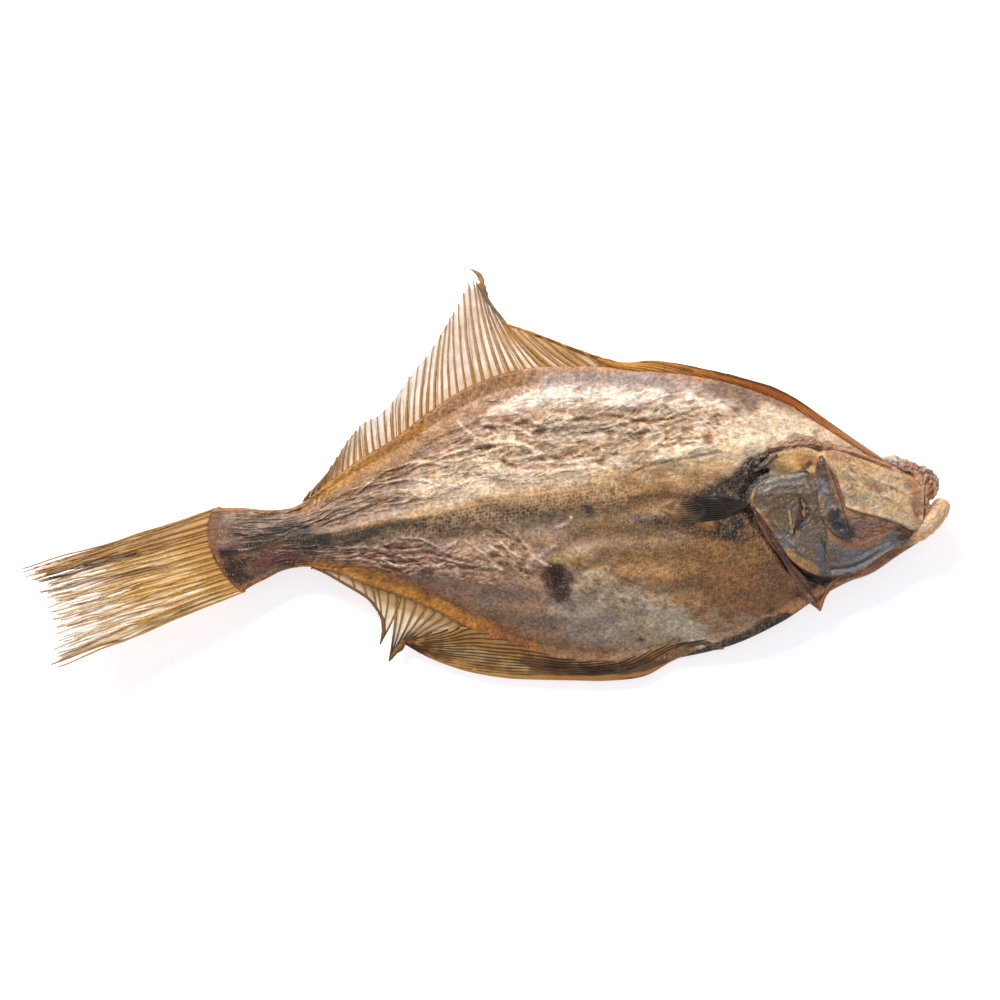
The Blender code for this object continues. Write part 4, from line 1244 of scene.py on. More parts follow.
def scale_tree() -> NodeTree:
    """A tree that strews dry scales over a painted skin, thickest where its `scaly` value is high.

    Returns:
        The tree. Its named inputs are sizes in metres, the density, the seed and the material.
    """
    tree = new_geometry_tree("dry_scales", (
        ("Skin", "Geometry", None), ("Density", "Float", 8e5), ("Radius", "Float", 0.3 * MM),
        ("Height", "Float", 0.1 * MM), ("Tilt", "Float", 0.3), ("Seed", "Int", 0), ("Material", "Material", None),
    ))
    add = partial(add_node, tree)
    given = add("NodeGroupInput", out=None).outputs
    density = add(TIMES, (given["Density"], add(POWER, (add(NAMED, {"Name": "scaly"}, data_type="FLOAT"), 1.5))))
    strewn = add("GeometryNodeDistributePointsOnFaces", {0: given["Skin"], "Density": density, "Seed": given["Seed"]},
                 distribute_method="RANDOM")
    # each flake has a tone, a turn, a tilt and a size of its own
    seeds = [add(ADD, (given["Seed"], step)) for step in (1.0, 2.0, 3.0)]
    tone = add(RANDOM, {"Seed": seeds[0]}, 1, data_type="FLOAT")
    toned = add(STORE, {0: strewn, "Name": "tone", "Value": tone}, data_type="FLOAT", domain="POINT")
    flake = add("GeometryNodeMeshCone", {"Vertices": 6, "Radius Top": 0.0, "Radius Bottom": given["Radius"],
                                         "Depth": given["Height"]})
    spin = add(RANDOM, {0: (-1.0, -1.0, 0.0), 1: (1.0, 1.0, 20.0), "Seed": seeds[1]}, data_type="FLOAT_VECTOR")
    tilt = add("ShaderNodeCombineXYZ", (given["Tilt"], given["Tilt"], 1.0))
    turn = add("FunctionNodeEulerToRotation", (add(VECTOR + ":MULTIPLY", (spin, tilt)),))
    rotation = add("FunctionNodeRotateRotation", (strewn.node.outputs["Rotation"], turn), rotation_space="LOCAL")
    size = add(RANDOM, {2: 0.6, 3: 1.35, "Seed": seeds[2]}, 1, data_type="FLOAT")
    placed = add("GeometryNodeInstanceOnPoints", {0: toned, "Instance": flake, "Rotation": rotation, "Scale": size})
    return end_geometry_tree(tree, placed, given["Material"])


def line_scale_tree() -> NodeTree:
    """A tree that lays the pored scales of the lateral line one behind the other along a guide."""
    tree = new_geometry_tree("line_scales", (
        ("Guide", "Geometry", None), ("Spacing", "Float", 1.1 * MM), ("Radius", "Float", 0.26 * MM),
        ("Flatness", "Float", 0.5), ("Seed", "Int", 0), ("Material", "Material", None),
    ))
    add = partial(add_node, tree)
    given = add("NodeGroupInput", out=None).outputs
    rows = add("GeometryNodeCurveToPoints",
               {0: add("GeometryNodeMeshToCurve", (given["Guide"],)), "Length": given["Spacing"]}, mode="LENGTH")
    tone = add(RANDOM, {2: 0.3, 3: 0.8, "Seed": given["Seed"]}, 1, data_type="FLOAT")
    toned = add(STORE, {0: rows, "Name": "tone", "Value": tone}, data_type="FLOAT", domain="POINT")
    bead = add("GeometryNodeMeshUVSphere", {"Segments": 8, "Rings": 5, "Radius": given["Radius"]})
    size = add(RANDOM, {2: 0.7, 3: 1.2, "Seed": add(ADD, (given["Seed"], 1.0))}, 1, data_type="FLOAT")
    flat = add("ShaderNodeCombineXYZ", (size, add(TIMES, (size, 1.5)), add(TIMES, (size, given["Flatness"]))))
    aligned = add("FunctionNodeAlignRotationToVector", {"Vector": rows.node.outputs["Tangent"]}, axis="X")
    placed = add("GeometryNodeInstanceOnPoints", {0: toned, "Instance": bead, "Rotation": aligned, "Scale": flat})
    return end_geometry_tree(tree, placed, given["Material"])


def grow_rays(name: str, points: Array, edges: Any, tree: NodeTree, material: Material,
              paint: Paint, values: dict[str, Any]) -> None:
    """Turn guide lines into painted rays by the geometry tree.

    Args:
        name: The piece's name.
        points: Places on the guides.
        edges: Pairs of places that a guide joins.
        tree: The geometry tree of the rays.
        material: The rays' finish.
        paint: The rays' colours.
        values: Inputs of the tree.
    """
    made = new_object(name, points, (), edges)
    apply_tree(made, tree, {"Material": material, **values})
    finish_piece(made, material, Slot.RAYS, paint)


# ------------ sheets, strands and fins


@dataclass(frozen=True)
class Sheet:
    """A thin curved sheet between two edges: a bone, a fold of skin or a folded fin's parchment.

    The lifts are its heights above the ground at the first edge, halfway and at the second edge.
    """

    name: str
    first: Route
    second: Route
    lifts: tuple[float, float, float]
    paint: Paint
    features: tuple[Crease | Ripples, ...] = ()
    thickness: float = 0.7
    lumps: float = 0.14
    crumple: float = 0.3
    rounding: float = 0.35
    steps: tuple[int, int] = (130, 70)
    on_flesh: bool = True

    def place(self, body: Body, along: Array, across: Array) -> Array:
        """Places on the upper face, before its relief.

        Args:
            body: The body that the sheet lies on.
            along: Shares from 0 to 1 along the two edges.
            across: Shares from the first edge to the second.

        Returns:
            Places in millimetres.
        """
        start, end = self.first.at(along), self.second.at(along)
        x, y = (start[..., axis] + (end[..., axis] - start[..., axis]) * across for axis in (0, 1))
        low, middle, high = self.lifts
        lift = (low * (1 - across) * (1 - 2 * across) + 4 * middle * across * (1 - across)
                + high * across * (2 * across - 1))
        ground = body.height_at(x, y) if self.on_flesh else body.middle_height(x, y)
        return np.stack([x, y, ground + lift], axis=-1)

    def build(self, body: Body, material: Material, slot: Slot) -> None:
        """Make the sheet with rounded rims, its relief and its colours.

        Args:
            body: The body that it lies on.
            material: Its finish.
            slot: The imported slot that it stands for.
        """
        along, across = np.meshgrid(*(np.linspace(0, 1, count) for count in self.steps), indexing="ij")
        top = self.place(body, along, across)
        x, y = top[..., 0], top[..., 1]
        width = np.hypot(x[:, -1] - x[:, 0], y[:, -1] - y[:, 0])[:, None]
        run = along * self.first.length()
        inset = np.minimum(np.minimum(across, 1 - across) * width, np.minimum(run, run[-1] - run))
        drop = self.rounding * (1 - np.sqrt(1 - (1 - np.minimum(inset / self.rounding, 1.0)) ** 2))
        seed = seed_of(self.name)
        relief = self.lumps * Noise(seed).layered(x / 3.2, y / 3.2, 4)
        relief += self.crumple * (Noise(seed + 5).ridges(x / 6.5 + 0.1 * y, y / 5.0) - 0.6)
        for feature in self.features:
            relief = relief + feature.lift(x.ravel(), y.ravel()).reshape(x.shape)
        relief = relief * np.minimum(inset / 0.8, 1.0)
        bottom = top[:, ::-1].copy()
        bottom[..., 2] -= self.thickness
        top[..., 2] += relief - drop
        made = new_object(self.name, *loft(np.concatenate([top, bottom], axis=1)))
        # the relief, which the bone's finish paints as shade in the hollows and as highlight on the crests
        set_values(made, "relief", np.concatenate([creased(relief, 1.0), 0.5 + 0 * relief], axis=1).ravel())
        set_values(made, "thin", np.zeros(2 * along.size))
        finish_piece(made, material, slot, self.paint)


@dataclass(frozen=True)
class Strand:
    """A tapered, lumpy strand. Each place of its path is x, y, height above the ground and half width."""

    name: str
    path: Route
    paint: Paint
    flatness: float = 0.8
    lumps: float = 0.14
    slot: Slot = Slot.BONE
    side: Side = Side.BLIND
    on_flesh: bool = False
    steps: tuple[int, int] = (90, 20)

    def build(self, body: Body, material: Material) -> None:
        """Make the strand, with rounded ends.

        Args:
            body: The body that it lies on.
            material: Its finish.
        """
        rings, around = self.steps
        share = np.linspace(0, 1, rings)
        path, radius = self.path.at(share), self.path.even(share, 3)
        run = share * self.path.length()
        inset = np.minimum(run, run[-1] - run)
        radius = np.maximum(radius * np.sqrt(1 - (1 - np.minimum(inset / np.maximum(radius, 0.05), 1.0)) ** 2), 0.02)
        x, y = path[:, 0], path[:, 1]
        ground = body.height_at(x, y, self.side) if self.on_flesh else body.middle_height(x, y)
        way = np.gradient(path[:, :2], axis=0)
        way /= np.maximum(np.hypot(*way.T), 1e-6)[:, None]
        turn = np.linspace(0, math.tau, around, endpoint=False)[None, :]
        bumps = Noise(seed_of(self.name)).layered(run[:, None] / 1.8 + 0 * turn,
                                                  2.2 * np.cos(turn) + 5 + 0 * run[:, None], 3)
        swell = radius[:, None] * (1 + self.lumps * bumps)
        out, up = swell * np.cos(turn), swell * np.sin(turn) * self.flatness
        points = np.stack([x[:, None] - way[:, [1]] * out, y[:, None] + way[:, [0]] * out,
                           (ground + self.side.value * path[:, 2])[:, None] + up], axis=-1)
        points[..., 2] = np.maximum(points[..., 2], 0.05)
        made = new_object(self.name, *loft(points))
        # the lumps' relief, which the bone and skin finishes paint as shade in the hollows and as highlight on the
        # crests
        set_values(made, "relief", np.clip(0.5 + 0.9 * (swell - radius[:, None]), 0, 1).ravel())
        finish_piece(made, material, self.slot, self.paint)


@dataclass(frozen=True)
class FoldedFin:
    """A fin that dried folded: its rays lie side by side in a narrow strip of parchment.

    `reach` is the share of the strip that one ray runs along. A fin that isn't rooted along the
    strip has its rays side by side from the far end.
    """

    sheet: Sheet
    rays: int
    ray_paint: Paint
    reach: float = 1.0
    rooted_along: bool = True
    curl: float = 2.4
    radii: tuple[float, float] = (0.42, 0.22)
    wander: float = 0.25
    lift: float = 0.0

    def guides(self) -> tuple[Array, Array]:
        """Shares along and across the strip for each ray, from root to tip."""
        run = np.linspace(0, 1, 14)[None, :]
        count = np.arange(self.rays)[:, None]
        if self.rooted_along:
            start = (count + 1) / self.rays
            along = start + (np.maximum(start - self.reach, 0) - start) * run
            return along, np.minimum(1, start / self.reach) * (1 - (1 - run) ** self.curl) * 0.97 + 0 * along
        return 1 - run + 0 * count, (count + 0.5) / self.rays + 0 * run

    def build(self, body: Body, tree: NodeTree, web: Material, ray: Material) -> None:
        """Make the parchment and the rays on it.

        Args:
            body: The body that the fin lies on.
            tree: The geometry tree of the rays.
            web: The parchment's finish.
            ray: The rays' finish.
        """
        self.sheet.build(body, web, Slot.WEB)
        along, across = self.guides()
        points = self.sheet.place(body, along, across)
        points[..., 2] += self.lift
        index = np.arange(along.size).reshape(along.shape)
        edges = np.stack([index[:, :-1].ravel(), index[:, 1:].ravel()], axis=1).tolist()
        grow_rays(self.sheet.name + "_rays", points.reshape(-1, 3), edges, tree, ray, self.ray_paint, {
            "Root Radius": self.radii[0] * MM, "Tip Radius": self.radii[1] * MM, "Wander": self.wander * MM,
            "Seed": seed_of(self.sheet.name) % 97, "Steps": 40, "Joints": 30.0,
        })


@dataclass(frozen=True)
class Fin:
    """A fan of rays with parchment between them, from paired places at roots and tips."""

    name: str
    rays: int
    base: Route
    tips: Route
    web_paint: Paint
    ray_paint: Paint
    bow: float = 0.0
    lift: float = 0.0
    twist: float = 0.0
    radii: tuple[float, float] = (0.42, 0.18)
    branches: int = 1
    spread: float = 0.0
    fork_start: float = 0.4
    wander: float = 0.35
    wander_size: float = 8.0
    size_spread: float = 0.2
    length_spread: float = 0.0
    fibres: int = 0
    notch: float = 0.07
    ragged: float = 0.04
    thin: tuple[float, float] = (0.5, 0.95)  # at the root and at the tip
    clefts: dict[int, float] = field(default_factory=dict)
    root: float = 2.5
    thickness: float = 0.14
    sag: float = 0.2
    columns: int = 6
    rows: int = 26

    def place(self, body: Body, across: Array, run: Array) -> Array:
        """Places on the fin's sheet.

        Args:
            body: The body that the fin grows from.
            across: Shares from the first ray to the last.
            run: 0 at the ray roots, 1 at the tips and below 0 in the flesh.

        Returns:
            Places in millimetres.
        """
        base, tips = self.base.at(across), self.tips.at(across)
        length = np.maximum(np.hypot(*np.moveaxis(tips - base, -1, 0)), 0.5)
        way = (tips - base) / length[..., None]
        bow = self.bow * length * np.sin(math.pi * np.clip(run, 0, 1))
        x = base[..., 0] + way[..., 0] * run * length - way[..., 1] * bow
        y = base[..., 1] + way[..., 1] * run * length + way[..., 0] * bow
        low = body.middle_height(base[..., 0], base[..., 1])
        high = body.middle_height(tips[..., 0], tips[..., 1]) + self.lift + self.twist * (across - 0.5)
        return np.stack([x, y, low + (high - low) * np.maximum(run, -0.1)], axis=-1)

    def inside(self, across: Array) -> Array:
        """How far below 0 `run` goes, so that the fin is rooted in the flesh."""
        return -self.root / np.maximum(np.hypot(*(self.tips.at(across) - self.base.at(across)).T), self.root)

    def ray_reach(self) -> Array:
        """How far out each ray runs: 1 with a little seeded unevenness."""
        draw = np.random.default_rng(seed_of(self.name))
        return 1 + self.ragged * draw.uniform(-1, 1, self.rays)

    def build_web(self, body: Body, material: Material) -> None:
        """Make the parchment, scalloped between the rays and torn where there are clefts.

        Args:
            body: The body that the fin grows from.
            material: The parchment's finish.
        """
        draw = np.random.default_rng(seed_of(self.name) + 50)
        count = (self.rays - 1) * self.columns + 1
        across, gap = np.linspace(0, 1, count), np.arange(count) / self.columns
        between = np.sin(math.pi * (gap % 1.0))
        reach = np.interp(gap, np.arange(self.rays), self.ray_reach())
        depth = draw.uniform(0.3, 1.0, self.rays) * self.notch
        for index, cleft in self.clefts.items():
            depth[index] = cleft
        reach = reach * (1 - depth[np.minimum(gap.astype(int), self.rays - 1)] * between**0.6) - 0.01
        inside = self.inside(across)
        run = inside[:, None] + (reach - inside)[:, None] * np.linspace(0, 1, self.rows)[None, :]
        top = self.place(body, np.repeat(across[:, None], self.rows, axis=1), run)
        sag = self.sag * between[:, None] * np.clip(run * 4, 0, 1)
        waves = 0.25 * Noise(seed_of(self.name)).at(top[..., 0] / 7, top[..., 1] / 7) * np.clip(run, 0, 1)
        top[..., 2] += waves - sag
        bottom = top[:, ::-1].copy()
        bottom[..., 2] -= self.thickness
        made = new_object(self.name + "_web", *loft(np.concatenate([top, bottom], axis=1)))
        out = np.concatenate([run, run[:, ::-1]], axis=1).ravel()
        thin = self.thin[0] + (self.thin[1] - self.thin[0]) * ease(out * 1.6)
        near_ray = np.repeat((1 - between)[:, None], 2 * self.rows, axis=1).ravel() ** 3
        set_values(made, "thin", np.clip(thin - 0.35 * near_ray, 0, 1))
        finish_piece(made, material, Slot.WEB, self.web_paint)

    def build_rays(self, body: Body, tree: NodeTree, material: Material) -> None:
        """Make the rays and, where the fin has frayed, the fibres between them.

        Args:
            body: The body that the fin grows from.
            tree: The geometry tree of the rays.
            material: The rays' finish.
        """
        self.sweep(body, tree, material, "rays", np.linspace(0, 1, self.rays), self.ray_reach(), {
            "Root Radius": self.radii[0] * MM, "Tip Radius": self.radii[1] * MM, "Branches": self.branches,
            "Spread": self.spread * MM, "Fork Start": self.fork_start, "Wander": self.wander * MM,
            "Length Spread": self.length_spread,
        })
        if self.fibres:
            draw = np.random.default_rng(seed_of(self.name) + 90)
            across = np.sort(draw.uniform(0.02, 0.98, self.fibres))
            self.sweep(body, tree, material, "fibres", across, draw.uniform(0.8, 1.02, self.fibres), {
                "Root Radius": 0.13 * MM, "Tip Radius": 0.07 * MM, "Wander": 1.5 * self.wander * MM,
                "Length Spread": 0.25, "Joint Depth": 0.0,
            })

    def sweep(self, body: Body, tree: NodeTree, material: Material, kind: str,
              across: Array, reach: Array, values: dict[str, Any]) -> None:
        """Sweep strands along straight guides from the roots to the tips by the geometry tree.

        Args:
            body: The body that the fin grows from.
            tree: The geometry tree of the rays.
            material: The strands' finish.
            kind: Last word of the piece's name.
            across: Share of the fin's width at which each strand stands.
            reach: How far out each strand runs.
            values: Inputs of the tree.
        """
        root, tip = self.place(body, across, np.zeros(len(across))), self.place(body, across, reach)
        start = root + (tip - root) * (self.inside(across) / reach)[:, None]
        edges = [(index, index + len(across)) for index in range(len(across))]
        grow_rays(f"{self.name}_{kind}", np.concatenate([start, tip]), edges, tree, material, self.ray_paint, {
            "Bow": self.bow, "Seed": seed_of(self.name) % 97, "Steps": 24, "Wander Size": self.wander_size * MM,
            "Size Spread": self.size_spread, **values,
        })


# ------------ the fins' and the head's shapes


BACK_WEB = Paint("#f7ecdc", read_stains("""
web_rose #e2cab4 .8 1 .5 -8,33,5 -5,44,4.4 -2,55,2
web_root #e0c092 .8 1.4 .5 -56,-6,2 -28,12,2.2 -5,28,2.2 25,33,2.4 42,32,3
web_lobe #dba955 .85 .9 8,43,3.4 20,39.4,4.6 32,35.6,4 42,33,2.4
web_edge #a98f74 .7 .9 .6 -54.3,-6.2,.5 -47.1,1.9,.59 -41.5,10.8,.6 -37.1,15.9,.6 -30.5,20,.6 -21.6,31.4,.6
  -13.7,42.4,.6 -9,51,.6 -4.4,58.2,.6
"""))
BACK_RAYS = Paint("#bd9260", read_stains("""
ray_root #b07f3c .9 .9 .1 -54,-5,4 -28,12,5 -5,28,6 25,34,6 42,33,5
ray_lobe #b87a30 .85 .8 .2 4,46,3 20,42,3.4 34,37,3.4 46,33,3
ray_peak #9c7f62 .7 .9 .2 -4,60,3 0,52,2.5 4,46,2
"""))
BELLY_WEB = Paint("#f2dfb8", read_stains("web_root #c48f40 .85 .9 -50,-28,2 -30,-37,2 -8,-45,2 10,-52,2"))
BELLY_RAYS = Paint("#93703e", read_stains("""
ray_tip #4c3a2b .85 .8 -31,-46,2.6 -28,-53,3.4 -24,-49,2.6
ray_edge #6e4c2c .7 .8 -52,-27.6,1 -38.4,-35,1.2 -31,-45,1.6
"""))
TAIL_WEB = Paint("#fdf4e4", read_stains("""
tail_fan #f5d494 .9 1 -84,-22,13 -98,-26,10 -114,-31,5
tail_band #dba653 .85 1 -84,-12,4.5 -87,-21,5 -79,-33,4
tail_top #cda46a .85 .8 -84,-13,4.4 -108,-20,4.2 -136,-29,2.4
tail_bottom #e2c48e .8 .9 -80,-36,2.4 -104,-46.6,2.4 -130,-56.6,2
"""))
TAIL_RAYS = Paint("#cba05e", read_stains("""
tail_tips #cbb08c .85 .9 -122,-38,12 -126,-46,12 -126,-54,10
tail_top #a3763f .85 .8 -84,-13,5 -108,-20,4.6 -136,-29,2.4
tail_dark #5c3d2a .9 .8 -104,-23,.7 -116,-26,1.2 -131,-30.6,1.2
tail_second #855f3c .8 .8 -96,-27,.8 -112,-30.4,1 -131,-34.4,1
tail_bottom #a47e4c .8 .9 -80,-36,1.6 -104,-46.6,1.6 -130,-56.6,1.4
tail_band #b28140 .9 1 -84,-12,4.5 -86,-21,5 -78,-33,4.5
"""))

FINS = (
    Fin("back_fin", 43, route("""
-54.6,-7.05 -49.2,-3 -43.2,1.5 -36.5,6 -29.8,10.9 -22.6,15.8 -15.2,21.9 -7.3,26.9 1.6,31 10.4,32.6 19.5,33
  30.5,33 41.7,31.8"""), route("""
-54.3,-6.4 -47.1,1.8 -41.55,10.65 -37.1,15.8 -30.5,19.8 -21.6,31.2 -13.7,42.2 -9,50.8 -3.8,58.6 -.7,55 6,45.8
  18.6,41.4 40.4,33.4
"""), BACK_WEB, BACK_RAYS, bow=0.025, lift=1.5, radii=(0.5, 0.22), thin=(0.6, 0.42), notch=0.045,
        ragged=0.02, wander=0.9, size_spread=0.3, fibres=60),
    Fin("belly_fin_rear", 9, route("-52,-27.2 -46,-28.6 -40,-31 -35,-33.2 -31.9,-34.5 -26,-36.8"),
        route("-52.4,-27.8 -46,-30.4 -38.4,-34.7 -33.4,-39.6 -31.2,-44 -31.6,-50"),
        BELLY_WEB, BELLY_RAYS, bow=0.03, lift=0.6, radii=(0.42, 0.26), thin=(0.3, 0.75)),
    Fin("belly_fin_middle", 9, route("-27.2,-36.3 -21.5,-38.7 -15.8,-40.7 -10.4,-43.2 -5.6,-45.9"),
        route("-29.2,-55.4 -28,-53 -26.6,-51 -25.6,-50 -24.6,-49.4"),
        BELLY_WEB, BELLY_RAYS, bow=0.03, lift=0.6, radii=(0.5, 0.3), thin=(0.3, 0.8)),
    Fin("tail_fin", 17, route("""
-80.9,-9.7 -82,-14.9 -82.5,-19.5 -82,-24.1 -80,-28.7 -76.8,-32.4 -73.4,-35"""), route("""
-139,-29.4 -137,-30.2 -134.5,-30.9 -133.2,-33.2 -133.6,-36.6 -131.4,-39.9 -129.6,-43.2 -130,-47.7 -129.3,-52.2
  -130.8,-57
"""), TAIL_WEB, TAIL_RAYS, twist=5.0, sag=0.02, radii=(0.32, 0.24), branches=3, spread=1.2,
        fork_start=0.15, wander=4.6, wander_size=17.0, size_spread=0.5, length_spread=0.1, fibres=90, notch=0.16,
        ragged=0.03, thin=(0.28, 0.5), root=1.4,
        clefts={3: 0.34, 5: 0.4, 7: 0.5, 8: 0.3, 9: 0.5, 10: 0.35, 11: 0.45, 12: 0.3, 14: 0.25}),
)

